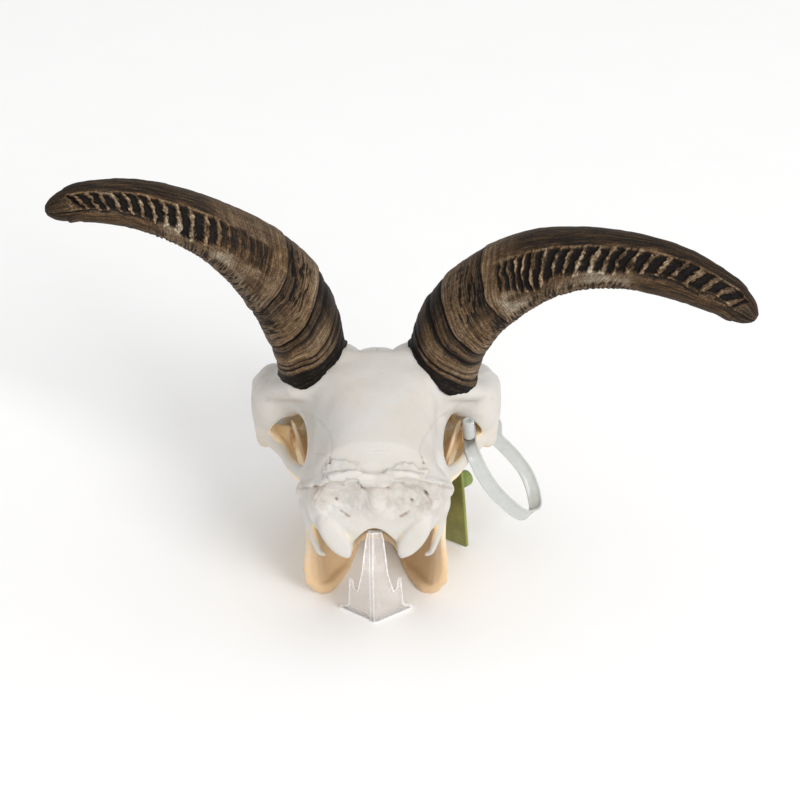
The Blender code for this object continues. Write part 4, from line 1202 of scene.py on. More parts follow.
class Horn:
    """Frames along a horn's curve, by distance from its foot."""

    def __init__(self, axis, side):
        path = spline(axis, 40)
        self.side = side
        mids = path[:, :3]
        step = np.linalg.norm(np.diff(mids, axis=0), axis=1)
        self.run = np.concatenate(((0,), np.cumsum(step)))
        self.length = self.run[-1]
        along = np.gradient(mids, self.run, axis=0)
        along[:, 1] += 0.30 * np.clip(1 - self.run / 35.0, 0, 1)
        along /= np.linalg.norm(along, axis=1, keepdims=True)
        front = np.array((0.0, 1.0, 0.0)) - along * along[:, 1:2]
        front /= np.linalg.norm(front, axis=1, keepdims=True)
        upper = np.cross(along, front) * side
        self.table = np.hstack((mids, along, front, upper, path[:, 3:5]))

    def frames(self, s):
        """Middle, three directions and two half widths at distances along the curve."""
        got = np.stack([np.interp(s, self.run, self.table[:, k])
                        for k in range(self.table.shape[1])], -1)
        return (got[..., 0:3], got[..., 3:6], got[..., 6:9], got[..., 9:12], got[..., 12],
                got[..., 13])

    def surface(self, s, angle):
        """Point and rough outward direction; angle 0 is the upper edge, 90 degrees the front."""
        mid, _, front, upper, wide, deep = self.frames(s)
        c, n = np.cos(angle), np.sin(angle)
        keel = 1.0 + 0.10 * np.maximum(n, 0) ** 3
        across = np.sign(c) * np.abs(c) ** 0.92 * (1.0 - 0.16 * np.maximum(n, 0) ** 2)
        offset = (upper * (across * wide)[..., None] + front * (n * keel * deep)[..., None])
        out = (upper * (c / wide)[..., None] + front * (n / deep)[..., None])
        out /= np.linalg.norm(out, axis=-1, keepdims=True)
        return mid + offset, out


def arc_mask(deg, low, high, soft):
    """1 where an angle in degrees lies between two limits, easing over a softness."""
    return smooth(low - soft, low + soft, deg) * (1 - smooth(high - soft, high + soft, deg))


def line_fall(angle):
    """Share of a growth line's drop at an angle: 0 near the upper edge, about 1 below."""
    return (1 - np.cos(angle - 0.09)) / 1.707


def ring_place(along, fall, lines):
    """Place among the growth lines: 0 at the rim, 1 and 2 at the yearly steps, and on."""
    marks = [top - drop * fall for top, drop in lines]
    marks.append(marks[-1] + 26)
    place = (along - marks[0]) / (marks[1] - marks[0])
    for k in (1, 2):
        beyond = k + (along - marks[k]) / (marks[k + 1] - marks[k])
        place = np.where(along > marks[k], beyond, place)
    return place


def ladder(s, deg, grain, fleck, far, pits, deep_from, seed):
    """Pits and rungs between a horn's edges: masks of all, pit, rung and rim, and lower limit."""
    top = 326 + 3 * noise(grain, (7, 5, 5), seed + 11) + 6 * (1 - far)
    low = 268 + 4 * noise(grain, (6, 5, 5), seed + 12) + 10 * (1 - far)
    low = low - 12 * bell(s, deep_from + 12, 12.0)
    lean = 0.10 * (deg - 300)
    skew = s - lean + 0.9 * noise(grain, (5, 3, 3), seed + 13)
    order = np.interp(skew, pits, np.arange(len(pits)), left=-0.5, right=len(pits) - 0.5)
    rung = np.abs(order - np.round(order)) * 2            # 0 mid pit, 1 on a rung
    rung = rung + 0.24 * noise(grain, (2.0, 1.3, 1.3), seed + 14) + 0.10 * fleck
    # every pit has its own length
    own = np.stack((9.0 * np.round(order), 0 * s, 0 * s), 1)
    top = top - 5.0 - 6.0 * noise(own, 4.0, seed + 21)
    low = low + 4.0 + 7.0 * noise(own, 4.0, seed + 22)
    started = smooth(pits[0] - 5, pits[0] - 1, s) * (1 - smooth(pits[-1] + 1, pits[-1] + 7, s))
    zone = arc_mask(deg, low, top, 3.2) * started
    hole = (1 - smooth(0.34, 0.72, rung)) * zone
    crest = smooth(0.62, 0.88, rung) * zone
    edge = (bell(deg, top + 1.5, 2.6) + bell(deg, low + 1.0, 2.2)) * started * far
    return zone, hole, crest, edge, low


def horn_detail(s, deg, lines, rings, pits, deep_from, early, length, seed):
    """Relief in millimetres, tone and other values of a horn's surface.

    deg runs from 180 (lower edge) over 270 (rear) and 360 (upper edge) to 540. The ladder's pits
    are deep from deep_from on, and early is how dark they are before it."""
    turn = np.radians(deg)
    grain = np.stack((s, GRAIN * np.cos(turn), GRAIN * np.sin(turn)), 1)
    fall = line_fall(turn)
    wander = 1.1 * noise(grain, (14, 5, 5), seed) + 0.35 * noise(grain, (5, 2.4, 2.4), seed + 1)
    place = ring_place(s + wander, fall, lines)
    table = np.array(rings)
    height = np.interp(place, table[:, 0], table[:, 1])
    tone = np.interp(place, table[:, 0], table[:, 2])
    ring = grain.copy()
    ring[:, 0] = s + wander + 18 * fall

    def layers(where, sizes, first, share=0.6):
        """Two noises of a size each, the second one weaker."""
        return noise(where, sizes[0], first) + share * noise(where, sizes[1], first + 1)

    # fine rings, strong near the foot and along the lower edge
    fine = layers(ring, ((1.15, 9, 9), (0.6, 5, 5)), seed + 2)
    broad = noise(ring, (3.0, 14, 14), seed + 4)
    fibre = layers(grain, ((9, 0.9, 0.9), (5, 0.45, 0.45)), seed + 5)
    patch = fractal(grain, (16, 6, 6), seed + 7)
    fleck = layers(grain, ((0.9, 0.9, 0.9), (0.5, 0.5, 0.5)), seed + 8)
    lower = arc_mask(deg, 190, 250, 14)
    foot = 1 - smooth(0.26, 0.42, place)
    upper = smooth(306, 338, deg) * (1 - smooth(400, 440, deg))
    height += (0.16 + 0.20 * foot) * fine * (1 - smooth(2.0, 2.6, place)) + 0.18 * broad
    tone += 0.085 * fine * (1 - 0.5 * smooth(2, 3, place)) + 0.05 * broad
    tone += 0.10 * fleck * (0.5 + foot) + 0.06 * fibre
    # the foot's band and the upper side below the first step are dark
    tone = tone * (1 - 0.42 * upper * (1 - smooth(0.94, 1.03, place)))
    band = 0.19 + 0.13 * fine + 0.30 * np.maximum(fleck - 0.1, 0) + 0.05 * patch
    tone = np.where(place < 0.28, np.minimum(tone, band), tone)
    # closely set rings along the lower edge
    scallops = np.sin(math.tau * (ring[:, 0] + 1.5 * noise(ring, (7, 3, 3), seed + 10)) / 3.1)
    nicks = layers(ring, ((0.75, 3.2, 3.2), (0.45, 2, 2)), seed + 17, 0.5)
    low_on = lower * smooth(0.9, 1.4, place) * (1 - smooth(150, 172, s))
    nicks = low_on * smooth(0.08, 0.42, nicks)
    height += 0.20 * low_on * scallops - 0.40 * nicks
    tone += low_on * (0.05 * scallops + 0.06) - 0.46 * nicks
    # dark nicks across the upper half, between the two great steps
    between = smooth(1.12, 1.35, place) * (1 - smooth(1.90, 1.97, place))
    between = between * arc_mask(deg, 276, 352, 14)
    dashes = layers(ring, ((1.1, 2.6, 2.6), (0.6, 1.1, 1.1)), seed + 19)
    dashes = between * smooth(0.05, 0.45, dashes + 0.25 * patch)
    height -= 0.5 * dashes
    tone = tone - 0.40 * dashes + 0.10 * between * smooth(-0.2, -0.6, dashes)
    far = smooth(deep_from - 12, deep_from + 12, s)
    zone, hole, crest, edge, low = ladder(s, deg, grain, fleck, far, pits, deep_from, seed)
    height -= hole * (0.35 + 0.65 * far) * (1.5 + 0.3 * noise(grain, (3, 2, 2), seed + 15))
    height -= 0.35 * zone * far * (1 - crest)
    # the edges stand over the ladder; far out they are smooth, brown and fibrous
    rim_up = upper * smooth(deep_from - 4, deep_from + 16, s)
    rim_low = arc_mask(deg, 196, 262, 6) * smooth(158, 172, s)
    height += (0.30 + 0.10 * fibre) * (rim_up + rim_low)
    line = bell(deg, low - 3.0, 2.2) * smooth(158, 172, s)
    height -= 0.8 * line
    streak = smooth(-0.1, 0.5, patch) * arc_mask(deg, 240, 286, 9) * smooth(2.0, 2.3, place)
    streak = streak * (1 - smooth(160, 176, s))
    brown = (1 - far) * zone * smooth(-0.35, 0.35, patch)
    tone = toward(tone, 0.30 + 0.13 * fibre + 0.05 * patch, 0.95 * rim_up)
    tone = toward(tone, 0.40 + 0.13 * fibre + 0.05 * patch, 0.95 * rim_low)
    tone = toward(tone, 0.36 + 0.10 * fleck + 0.12 * patch, zone * far)
    tone = tone - 0.22 * brown - 0.05 * (1 - smooth(2.0, 2.3, place))
    tone = toward(tone, 0.82 + 0.08 * fleck, 0.75 * streak)
    rungs = 0.80 - 0.25 * smooth(0.55, 0.9, (s - deep_from) / (length - deep_from))
    worn = smooth(-0.55, 0.25, noise(grain, (3.2, 2.4, 2.4), seed + 16) + 0.22)
    tone = toward(tone, rungs + 0.18 * fleck, crest * (0.25 + 0.60 * far) * worn)
    tone = toward(tone, 0.03 + 0.04 * fleck, hole * toward(early, 0.97, far))
    tone = tone - 0.3 * line + 0.24 * edge * smooth(-0.5, 0.4, fleck + 0.4)
    # last stretch: worn, with the lower layer ending short of the tip
    end = smooth(length - 16, length - 6, s)
    tone = toward(tone, 0.30 + 0.16 * fibre, 0.6 * end)
    chip = smooth(length - 10.5, length - 9.0, s + 0.8 * fleck) * arc_mask(deg, 190, 250, 5)
    height -= 1.2 * chip
    height *= 1 - 0.6 * smooth(length - 8, length - 2, s)
    cool = 0.24 + 0.5 * patch + 0.5 * streak - 0.5 * brown - 0.25 * rim_up - 0.3 * rim_low
    fibrous = rim_up + rim_low + 0.35 * (1 - zone) * smooth(2.0, 2.6, place) + end
    warped = np.stack((ring[:, 0], grain[:, 1], grain[:, 2]), 1)
    return height, np.clip(tone, 0, 1), np.clip(cool, 0, 1), np.clip(fibrous, 0, 1), warped


def slope_of(field, p):
    """Unit outward direction of a field at points."""
    step = np.eye(3) * 0.9
    g = np.stack([field.at(p + d) - field.at(p - d) for d in step], 1)
    return g / np.maximum(np.linalg.norm(g, axis=1, keepdims=True), 1e-6)


def make_horn(name, axis, side, skull, material, lines, rings, pits, deep_from, early, seed):
    """A horn's sheath, seated on the skull's field."""
    horn = Horn(axis, side)
    deg = 180.0 + 360.0 * np.arange(HORN_COLUMNS) / HORN_COLUMNS
    angle = np.radians(deg)
    # the sheath starts on its rim line, but never deeper in the bone than a lip
    rim = lines[0][0] - lines[0][1] * line_fall(angle)
    probe = np.linspace(0, 60, 241)
    for k, a in enumerate(angle):
        p, _ = horn.surface(probe, np.full(len(probe), a))
        inside = np.nonzero(skull.at(p) < 0.3)[0]
        if len(inside):
            rim[k] = max(rim[k], probe[inside.max()] - LIP)
    for _ in range(10):
        rim = (np.roll(rim, 1) + 2 * rim + np.roll(rim, -1)) / 4
    around = np.stack((0 * angle, GRAIN * np.cos(angle), GRAIN * np.sin(angle)), 1)
    rim += 0.9 * noise(around, 3.1, seed) + 0.8 * noise(around, 1.1, seed + 1)
    if side < 0:
        rim += 3.4 * bell(deg, 322, 5.0)          # a notch in the right sheath's rim
    t = np.linspace(0, 1, HORN_ROWS)
    s = (rim[None, :] + (horn.length - rim[None, :]) * t[:, None]).ravel()
    a = np.tile(angle, HORN_ROWS)
    p, rough_out = horn.surface(s, a)
    near = s < 48
    for _ in range(2):
        d = skull.at(p[near])
        want = 0.5 * (d + SEAT + np.sqrt((d - SEAT) ** 2 + 0.6))
        p[near] += slope_of(skull, p[near]) * np.clip(want - d, 0, 3)[:, None]
    faces = grid_faces(HORN_ROWS, HORN_COLUMNS)
    out = normals(p, faces)
    out *= np.sign(np.sum(out * rough_out, axis=1, keepdims=True))
    height, tone, cool, fibrous, grain = horn_detail(
        s, np.tile(deg, HORN_ROWS), lines, rings, pits, deep_from, early, horn.length, seed)
    p = p + out * (height - INSET)[:, None]
    # the rim turns in onto the bone, and the tip is closed
    first = p[:HORN_COLUMNS]
    turn_in = first - slope_of(skull, first) * np.clip(skull.at(first) + 1.2, 0.3, 4.0)[:, None]
    count = len(p)
    tip = p[-HORN_COLUMNS:].mean(0) + horn.table[-1, 3:6] * 0.8
    p = np.vstack((p, turn_in, tip[None]))
    ring = np.arange(HORN_COLUMNS)
    after = np.roll(ring, -1)
    lip = np.stack((count + ring, count + after, after, ring), 1)
    last = count - HORN_COLUMNS
    cap = np.stack((last + ring, last + after, np.full(HORN_COLUMNS, len(p) - 1)), 1)

    def extend(values, inner, end):
        """Values of the surface, with those of the turned-in rim and of the tip."""
        return np.concatenate((values, np.full(HORN_COLUMNS, inner), (end,)))

    add_piece(name + "_sheath", p, [np.vstack((faces, lip)), cap], material, (name,),
              {"tone": extend(tone, 0.1, 0.3), "cool": extend(cool, 0.3, 0.3),
               "fibrous": extend(fibrous, 0.0, 1.0),
               "grain": np.vstack((grain, grain[:HORN_COLUMNS], grain[-1:]))}, flip=side < 0)


# ---------------------------------------------------------------- small pieces

# Prop: fold line (z, f), how fast its wings run forward (z, slope), and its right outline (x, z)
# from the top down: the bowed side, then the notch, the shoulder and the foot.
PROP_SPINE = ((-44, 33.5), (12, 0.5), (31.5, 8.5))
PROP_FOLD = ((-44, 0.74), (-10, 0.62), (10, 0.25), (32, 0.15))
PROP_SIDE = ((0.0, 31.9), (2.4, 31.8), (4.2, 30.5), (6.0, 19.0), (7.2, 8.0), (8.4, -3.0))
PROP_CORNERS = ((9.8, -14.6), (10.2, -15.4), (11.2, -13.6), (11.6, -12.6), (11.9, -3.0),
                (12.2, -2.4), (13.5, -2.4), (13.9, -3.0), (15.2, -35.0), (16.4, -38.6),
                (20.0, -41.6), (20.0, FLOOR))
PROP_RIB = (1.0, 2.9)                 # left and right side of the rib, from the middle
PROP_THICK = 2.2
# Tie loop: x, f, z along the band's middle, and the direction of its width.
TIE_WIDTH = 8.0
TIE_THICK = 1.4
TIE_PATH = (
    (-52.0, 81.5, 46.4), (-51.9, 76, 46.2), (-52.4, 71.6, 45.4), (-54.8, 68.2, 40.6),
    (-58.7, 68.0, 31.7), (-63.8, 70.5, 21.3), (-69.6, 75, 11.2), (-77.1, 82.5, -0.9),
    (-83.3, 91, -10.5), (-88.4, 98.5, -14.4), (-91.1, 104.5, -13.8), (-90.8, 110, -10.5),
    (-89.3, 114, -5.4), (-85.6, 117.5, 2.2), (-79.2, 119, 11.0), (-73.1, 118.4, 18.6),
    (-68.2, 116.2, 25.9), (-67.3, 113.3, 35.8), (-62.8, 110.9, 43.2), (-56.9, 107.5, 47.3),
    (-52.6, 99.5, 48.2), (-51.8, 90, 47.2),
)
TIE_AXIS = np.array((-0.78, 0.30, 0.55))
# The tie's round housing: its middle and the way it points.
HEAD_AT = np.array((-50.9, 75.5, 55.4))
HEAD_AXIS = np.array((0.07, -0.139, 0.988))
HEAD_RADIUS = 3.2
HEAD_LENGTH = 13.0
# Tag: lower rear corner, turn and lean in degrees, width, height and thickness.
TAG_CORNER = (-53.0, 103.6, -41.1)
TAG_TURN = 44.0
TAG_LEAN = 6.6
TAG_SIZE = (20.0, 49.5, 1.8)
KNOB_DROP = 8.4                       # below the tag's top edge
KNOB_RADIUS = 4.7
KNOB_LENGTH = 8.0


def lathe(bm, at, axis, profile, steps=40):
    """Turned body about an axis: profile of (distance along, radius), closed at both ends."""
    axis = np.array(axis) / np.linalg.norm(axis)
    side = np.cross(axis, (1.0, 0.0, 0.3))
    side /= np.linalg.norm(side)
    other = np.cross(axis, side)
    rings = []
    for along, radius in profile:
        turns = [math.tau * k / steps for k in range(steps)]
        rings.append([bm.verts.new(np.array(at) + axis * along
                                   + (side * math.cos(t) + other * math.sin(t)) * radius)
                      for t in turns])
    for a, b in zip(rings, rings[1:]):
        for k in range(steps):
            j = (k + 1) % steps
            bm.faces.new((a[k], a[j], b[j], b[k]))
    bm.faces.new(rings[0])
    bm.faces.new(rings[-1][::-1])


def prop_point(x, z, push=0.0):
    """Rear face of the prop's folded sheet, moved forward by push."""
    fold = along_table(PROP_FOLD, z)
    soft = math.sqrt(x * x + 0.6) - 0.45
    return (x, along_table(PROP_SPINE, z) + fold * soft + push, z)


def make_prop(material):
    """The folded clear sheet with its notches, a rib, painted highlights on its edges and a foot
    rim.
    """
    right = [tuple(p) for p in spline(PROP_SIDE, 4)] + list(PROP_CORNERS)
    outline = right + [(-x, z) for x, z in reversed(right) if x > 1e-6]
    bm = bmesh.new()
    face = bm.faces.new([bm.verts.new((x, 0, z)) for x, z in outline])
    bmesh.ops.inset_region(bm, faces=[face], thickness=0.55, use_even_offset=True)
    rib_cuts = [side + step for side in PROP_RIB for step in (-0.35, 0.0, 0.35)]
    cuts = [((c, 0, 0), (1, 0, 0)) for c in [*np.arange(-19.0, 19.5, 1.0), *rib_cuts]]
    cuts += [((0, 0, c), (0, 0, 1)) for c in np.arange(-42.5, 32, 1.5)]
    for at, normal in cuts:
        bmesh.ops.bisect_plane(bm, geom=bm.verts[:] + bm.edges[:] + bm.faces[:], dist=1e-5,
                               plane_co=at, plane_no=normal)
    bmesh.ops.remove_doubles(bm, verts=bm.verts, dist=0.02)
    made = bmesh.ops.extrude_face_region(bm, geom=bm.faces[:])
    front = {v for v in made["geom"] if isinstance(v, bmesh.types.BMVert)}
    for v in bm.verts:
        x, z = v.co.x, v.co.z
        rib = 1.3 * float(smooth(PROP_RIB[0] - 0.4, PROP_RIB[0], x)
                          * smooth(PROP_RIB[1] + 0.4, PROP_RIB[1], x))
        foot = 0.9 * float(1 - smooth(-42.2, -40.8, z))
        if v in front:
            v.co = prop_point(x, z, PROP_THICK)
        else:
            v.co = prop_point(x, z, -0.55 * rib - 0.5 * foot)
    edges = [e for e in bm.edges if len(e.link_faces) == 2 and e.calc_face_angle(0) > 0.9]
    bmesh.ops.bevel(bm, geom=edges, offset=0.25, segments=2, affect="EDGES", clamp_overlap=True)
    for v in bm.verts:
        v.co.z = max(v.co.z, FLOOR)

    def edge_highlight(co):
        """1 where the sheet's cut edges, rib and foot catch the light."""
        rim = smooth(0.55, 0.2, line_distance((co[:, 0], co[:, 2]), outline + outline[:1]))
        rib = sum(bell(co[:, 0], side, 0.3) for side in PROP_RIB)
        foot = 0.45 * smooth(-40.6, -42.0, co[:, 2])
        return np.clip(np.maximum(np.maximum(rim, 0.85 * rib), foot), 0, 1)

    finish_piece(bm, "prop_moulding", material, ("clear_prop",), 50.0,
                 {"edge": edge_highlight})


def make_tie(band, dark):
    """The band with a thick bead along each edge, its round housing and the ring in that."""
    path = spline(TIE_PATH, 16, closed=True)
    along = np.roll(path, -1, 0) - np.roll(path, 1, 0)
    along /= np.linalg.norm(along, axis=1, keepdims=True)
    wide = TIE_AXIS - along * (along @ TIE_AXIS)[:, None]
    wide /= np.linalg.norm(wide, axis=1, keepdims=True)
    thin = np.cross(along, wide)
    section = [(1.0, -0.3), (1.0, 0.3), (0.97, 0.75), (0.92, 0.98), (0.86, 1.0), (0.80, 0.92),
               (0.76, 0.72), (0.30, 0.66), (-0.30, 0.66), (-0.76, 0.72), (-0.80, 0.92),
               (-0.86, 1.0), (-0.92, 0.98), (-0.97, 0.75)]
    section += [(-a, -b) for a, b in section]
    rings = [path + wide * (a * TIE_WIDTH / 2) + thin * (b * TIE_THICK / 2) for a, b in section]
    points = np.stack(rings, 1).reshape(-1, 3)
    quads = grid_faces(len(path), len(section), loop=True)
    volume = np.sum(np.cross(points[quads[:, 0]], points[quads[:, 1]]) * points[quads[:, 2]])
    add_piece("tie_band", points, quads, band, ("tie_strap",), flip=volume > 0)
    half, r = HEAD_LENGTH / 2, HEAD_RADIUS
    grooves = [(start - half + step, r * wide) for start in (5.4, 8.4)
               for step, wide in ((0, 1.0), (0.2, 0.95), (0.5, 0.95), (0.7, 1.0))]
    bm = bmesh.new()
    lathe(bm, HEAD_AT, HEAD_AXIS, (
        (-half, 0.4), (-half, r * 0.72), (-half + 0.15, r * 0.84), (-half + 0.5, r * 0.92),
        (-half + 1.6, r * 0.93), (-half + 1.75, r * 0.985), (-half + 2.1, r), *grooves,
        (half - 0.7, r), (half - 0.3, r * 0.95), (half, r * 0.82), (half, r * 0.50),
        (half - 0.8, r * 0.44), (half - 0.8, 0.3)))
    finish_piece(bm, "tie_housing", band, ("tie_head",), 30.0)
    bm = bmesh.new()
    lathe(bm, HEAD_AT - HEAD_AXIS * (half - 1.05), HEAD_AXIS, (
        (-0.42, r * 0.90), (-0.42, r * 0.965), (-0.25, r * 0.995), (0.25, r * 0.995),
        (0.42, r * 0.965), (0.42, r * 0.90)))
    finish_piece(bm, "tie_ring", dark, (), 30.0)


def make_tag(plate, stud):
    """Flat plate with rounded corners and edges, and its grooved stud."""
    turn = Matrix.Rotation(-math.radians(TAG_TURN), 4, "Z")
    lean = Matrix.Rotation(math.radians(TAG_LEAN), 4, "Y")
    spin = turn @ lean
    width, high, thick = TAG_SIZE

    def put(x, y, z):
        """Skull coordinates of a place on the plate."""
        v = spin @ Vector((x, y, z))
        return (TAG_CORNER[0] + v.x, TAG_CORNER[1] - v.y, TAG_CORNER[2] + v.z)

    bm = bmesh.new()
    columns, rows = 24, 56                # cells across and up the plate
    corner = 1.6                          # radius of its corners
    grid = {}
    for j in range(rows + 1):
        z = high * j / rows
        short = corner - math.sqrt(max(corner ** 2 - max(corner - z, corner - high + z, 0) ** 2, 0))
        for i in range(columns + 1):
            x = short + (width - 2 * short) * i / columns
            warp = 0.14 * math.sin(z / 9.0 + 0.6) * (1 - z / high)
            for face in (-1, 1):
                grid[i, j, face] = bm.verts.new((x, face * thick / 2 + warp, z))
    for j in range(rows):
        for i in range(columns):
            for face in (-1, 1):
                bm.faces.new([grid[i + a, j + b, face] for a, b in
                              ((0, 0), (1, 0), (1, 1), (0, 1))])
    ring = ([(i, 0) for i in range(columns)] + [(columns, j) for j in range(rows)]
            + [(i, rows) for i in range(columns, 0, -1)] + [(0, j) for j in range(rows, 0, -1)])
    for a, b in zip(ring, ring[1:] + ring[:1]):
        bm.faces.new((grid[a + (-1,)], grid[b + (-1,)], grid[b + (1,)], grid[a + (1,)]))
    bmesh.ops.recalc_face_normals(bm, faces=bm.faces)
    edges = [e for e in bm.edges if e.calc_face_angle(0) > 0.9]
    bmesh.ops.bevel(bm, geom=edges, offset=0.35, segments=3, affect="EDGES", clamp_overlap=True)
    for v in bm.verts:
        v.co = put(*v.co)
    inverse = spin.to_3x3().inverted()

    def edge_highlight(co):
        """1 along the plate's two long edges, where a highlight is painted."""
        local = np.stack((co[:, 0] - TAG_CORNER[0], TAG_CORNER[1] - co[:, 1],
                          co[:, 2] - TAG_CORNER[2]), 1) @ np.array(inverse).T
        inner = np.minimum(local[:, 0], width - local[:, 0])
        return 1 - smooth(0.25, 0.9, inner)

    finish_piece(bm, "tag_sheet", plate, ("tag_plate",), 40.0,
                 {"edge": edge_highlight})
    axis = np.array(put(0, -1, 0)) - np.array(put(0, 0, 0))
    foot = np.array(put(KNOB_RADIUS, -thick / 2 - 0.05, high - KNOB_DROP))
    r, length = KNOB_RADIUS, KNOB_LENGTH
    bm = bmesh.new()
    lathe(bm, foot, axis, (
        (0.0, r * 0.5), (0.0, r * 0.86), (0.25, r * 0.93), (1.1, r * 0.95), (1.5, r * 0.90),
        (1.9, r * 0.90), (2.2, r * 0.97), (2.6, r), (length - 1.2, r), (length - 0.5, r * 0.95),
        (length - 0.1, r * 0.84), (length + 0.05, r * 0.66), (length - 0.15, r * 0.58),
        (length - 0.55, r * 0.50), (length - 0.60, 0.3)), 48)
    finish_piece(bm, "tag_stud", stud, ("tag_knob",), 30.0)


# Cheek teeth: length along the jaw, half width; premolars have one lobe and molars two or three.
UPPER_TEETH = ((7.2, 3.9, 1), (7.8, 4.8, 1), (8.0, 5.4, 1), (11.4, 6.0, 2), (13.0, 6.3, 2),
               (13.8, 5.9, 2))
LOWER_TEETH = ((6.0, 2.6, 1), (7.6, 3.2, 1), (8.4, 3.7, 1), (10.8, 4.2, 2), (12.4, 4.4, 2),
               (15.6, 4.4, 3))
ROW_LENGTH = 66                       # room for a whole row of cheek teeth
# Middle line of each row (f, x), the front of its first tooth, its root and crown heights.
UPPER_ROW = (((104, 24.4), (114, 25.6), (132, 25.2), (150, 23.6), (165, 22)), 165.5, 2.0, -9.2)
LOWER_ROW = (((101, 24.8), (113, 24.0), (133, 22.4), (150, 20.4), (162, 18.6)), 161.5, -19.5, -9.9)


def teeth_field(teeth, row):
    """Cheek teeth from front to back; crowns run from root to crown height."""
    middle_line, start, root, crown = row
    up = 1.0 if crown > root else -1.0

    def line(f):
        return along_table(middle_line, f)

    xs = [line(start - y) for y in range(0, ROW_LENGTH, 5)]
    low = (min(xs) - 10, start - ROW_LENGTH, min(root, crown) - 2)
    high = (max(xs) + 10, start + 4, max(root, crown) + 2)
    field = Field(low, high)
    f = start
    for length, half, lobes in teeth:
        step = (length - 0.5) / lobes
        for k in range(lobes):
            mid = f - 0.25 - step * (k + 0.5)
            x = line(mid)
            field.rod(((x, mid, root, half * 0.94, step * 0.56),
                       (x + 0.3, mid, (root + crown) / 2, half, step * 0.58),
                       (x, mid, crown + up * 1.6, half * 0.95, step * 0.55)), (0, 1, 0), 0.5)
            for edge in (-0.46, 0.46):
                at = mid + edge * step
                outer = line(at) + half * 0.92
                field.rod(((outer, at, root, 0.8, 0.8), (outer, at, crown + up, 0.85, 0.9)),
                          (0, 1, 0), 0.7)
            rib = x + half * 0.98
            field.rod(((rib, mid, root, 0.6, 0.7), (rib, mid, crown + up, 0.6, 0.7)),
                      (0, 1, 0), 0.8)
            field.blob((x + 0.30 * half, mid, crown), (0.55, step * 0.32, 1.5),
                       blend=0.4, cut_out=True)
            field.blob((x - 0.34 * half, mid, crown), (0.5, step * 0.28, 1.3),
                       blend=0.4, cut_out=True)
        field.blob((line(f - length), f - length, crown), (9, 0.22, abs(crown - root) * 0.8),
                   blend=0.3, cut_out=True)
        f -= length
    _, y, z = field.axes
    wave = 0.35 * np.sin(y * 1.15)[None, :, None]
    field.d[:] = np.maximum(field.d, up * (z[None, None, :] - crown) + wave)
    field.d[:] = np.maximum(field.d, up * (root - z)[None, None, :])
    return field


def make_teeth(material):
    """Upper and lower cheek teeth on both sides, and the front teeth."""
    for label, teeth, row, slot in (("upper", UPPER_TEETH, UPPER_ROW, "bone"),
                                    ("lower", LOWER_TEETH, LOWER_ROW, "jaw_bone")):
        *_, root, crown = row
        points, quads = skin(teeth_field(teeth, row))
        points = relax(points, quads, 2)
        gum = np.abs(points[:, 2] - root) / abs(crown - root)
        stain_and_shade = 0.75 * smooth(0.28, 0.0, gum) + 0.45 * smooth(0.965, 1.0, gum)
        stain_and_shade += 0.35 * smooth(0.2, 0.6, fractal(points, (3, 3, 6), 61))
        for side, name in ((1.0, "left"), (-1.0, "right")):
            node = ("cranium",) if label == "upper" else ("mandible_" + name,)
            add_piece(label + "_teeth_" + name, points * (side, 1, 1), quads, material,
                      node, {"stain_and_shade": np.clip(stain_and_shade, 0, 1)}, flip=side > 0)
    make_incisors(material)


# Front teeth of one side: x, f, width, turn outward in degrees.
INCISORS = ((2.1, 216.6, 1.9, 2), (5.6, 216.0, 1.8, 9), (8.9, 214.4, 1.6, 20),
            (11.6, 211.6, 1.35, 34))
# Rings of a front tooth from root to edge: distance along, height, half width, half thickness.
INCISOR_RINGS = ((-7.0, -8.8, 0.9, 1.1), (-4.0, -7.2, 1.1, 1.3), (-1.5, -5.6, 1.0, 1.2),
                 (0.5, -4.2, 1.25, 1.2), (2.2, -3.0, 1.35, 0.9), (3.2, -2.4, 1.3, 0.55),
                 (3.7, -2.1, 1.1, 0.25))
INCISOR_SIDES = 14


def make_incisors(material):
    """Eight spade-shaped lower front teeth."""
    up = np.array((0, 0, 1.0))
    around = np.arange(INCISOR_SIDES) / INCISOR_SIDES * math.tau
    for side, name in ((1.0, "left"), (-1.0, "right")):
        bm = bmesh.new()
        for x, f, wide, turn in INCISORS:
            spin = math.radians(turn)
            ahead = np.array((math.sin(spin), math.cos(spin), 0.0))
            across = np.array((math.cos(spin), -math.sin(spin), 0.0))
            rings = []
            for along, height, half, thick in INCISOR_RINGS:
                middle = np.array((x, f, 0.0)) + ahead * along + (0, 0, height)
                half = half * wide / 1.35
                rings.append([bm.verts.new((middle + across * half * math.cos(t)
                                            + up * thick * math.sin(t)) * (side, 1, 1))
                              for t in around])
            for a, b in zip(rings, rings[1:]):
                for m in range(INCISOR_SIDES):
                    n = (m + 1) % INCISOR_SIDES
                    bm.faces.new((a[m], a[n], b[n], b[m]))
            bm.faces.new(rings[0])
            bm.faces.new(rings[-1])
        bmesh.ops.subdivide_edges(bm, edges=bm.edges, cuts=1, use_grid_fill=True, smooth=0.6)
        finish_piece(bm, "front_teeth_" + name, material, ("mandible_" + name,),
                     0.0, {"stain_and_shade": lambda co: 0.7 * smooth(-5.0, -7.0, co[:, 2])})


# ---------------------------------------------------------------- stage

# Lamps: name, place in metres, width, power in watts.
LAMPS = (("key", (-2.7, 4.5, 2.85), 2.4, 215.0), ("top", (-0.5, 0.5, 4.0), 3.0, 16.0))
AIM = Vector((0, 0, 0.08))


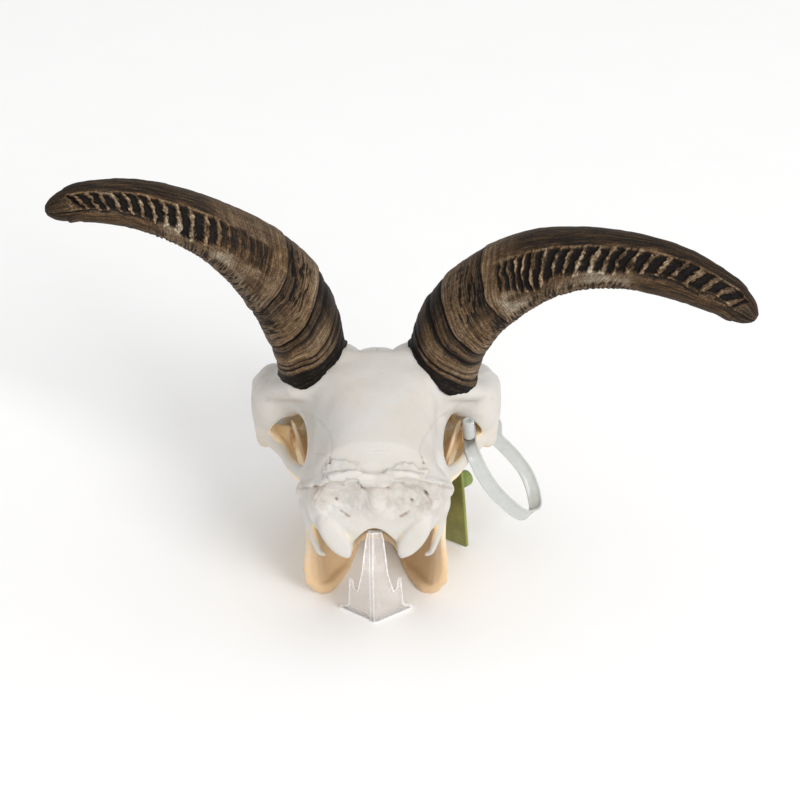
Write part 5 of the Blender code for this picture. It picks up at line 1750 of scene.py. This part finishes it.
def make_stage():
    """Camera, floor, pale sky and two soft lamps."""
    scene = bpy.context.scene
    data = bpy.data.cameras.new("camera")
    data.sensor_width = SENSOR
    data.lens = SENSOR * PIXELS / FRAME
    data.clip_start = 0.05
    data.clip_end = 50.0
    camera = bpy.data.objects.new("camera", data)
    camera.location = world(EYE[None, :])[0]
    camera.rotation_euler = (math.radians(90 - ELEVATION), 0, math.radians(180))
    scene.collection.objects.link(camera)
    scene.camera = camera
    bm = bmesh.new()
    bmesh.ops.create_circle(bm, cap_ends=True, segments=96, radius=6.0)
    mesh = bpy.data.meshes.new("floor")
    bm.to_mesh(mesh)
    bm.free()
    floor = bpy.data.objects.new("floor", mesh)
    scene.collection.objects.link(floor)
    floor.data.materials.append(floor_material())
    scene.view_settings.view_transform = "Standard"
    scene.view_settings.look = "None"
    sky = bpy.data.worlds.new("studio")
    scene.world = sky
    sky.use_nodes = True
    back = sky.node_tree.nodes["Background"]
    back.inputs["Color"].default_value = (1.0, 0.995, 0.99, 1.0)
    back.inputs["Strength"].default_value = 0.72
    for label, at, size, power in LAMPS:
        lamp = bpy.data.lights.new(label, "AREA")
        lamp.shape = "DISK"
        lamp.size = size
        lamp.energy = power
        obj = bpy.data.objects.new(label, lamp)
        obj.location = at
        obj.rotation_euler = (AIM - Vector(at)).to_track_quat("-Z", "Y").to_euler()
        scene.collection.objects.link(obj)


make_stage()
# each bone's last colour is its tan, which also paints shade: on the skull it is paler than the
# bone, a warm glow in shaded hollows; on the jaw it is the shade of the upper process
BONE = bone_material("skull_bone", (0.60, 0.585, 0.56), (0.58, 0.55, 0.50), (0.95, 0.74, 0.45))
JAW_BONE = bone_material("lower_jaw_bone", (0.80, 0.72, 0.58), (0.76, 0.64, 0.46),
                         (0.74, 0.52, 0.30))
HORN = horn_material()
SKULL = make_cranium(BONE)
make_jaws(JAW_BONE)
make_horn("horn_left", HORN_LEFT, 1.0, SKULL, HORN, LEFT_LINES, LEFT_RINGS, LEFT_PITS,
          deep_from=128.0, early=0.16, seed=101)
make_horn("horn_right", HORN_RIGHT, -1.0, SKULL, HORN, RIGHT_LINES, RIGHT_RINGS, RIGHT_PITS,
          deep_from=96.0, early=0.80, seed=151)
make_prop(clear_material())
make_tie(tie_material(), ring_material())
make_tag(tag_material(), knob_material())
make_teeth(tooth_material())
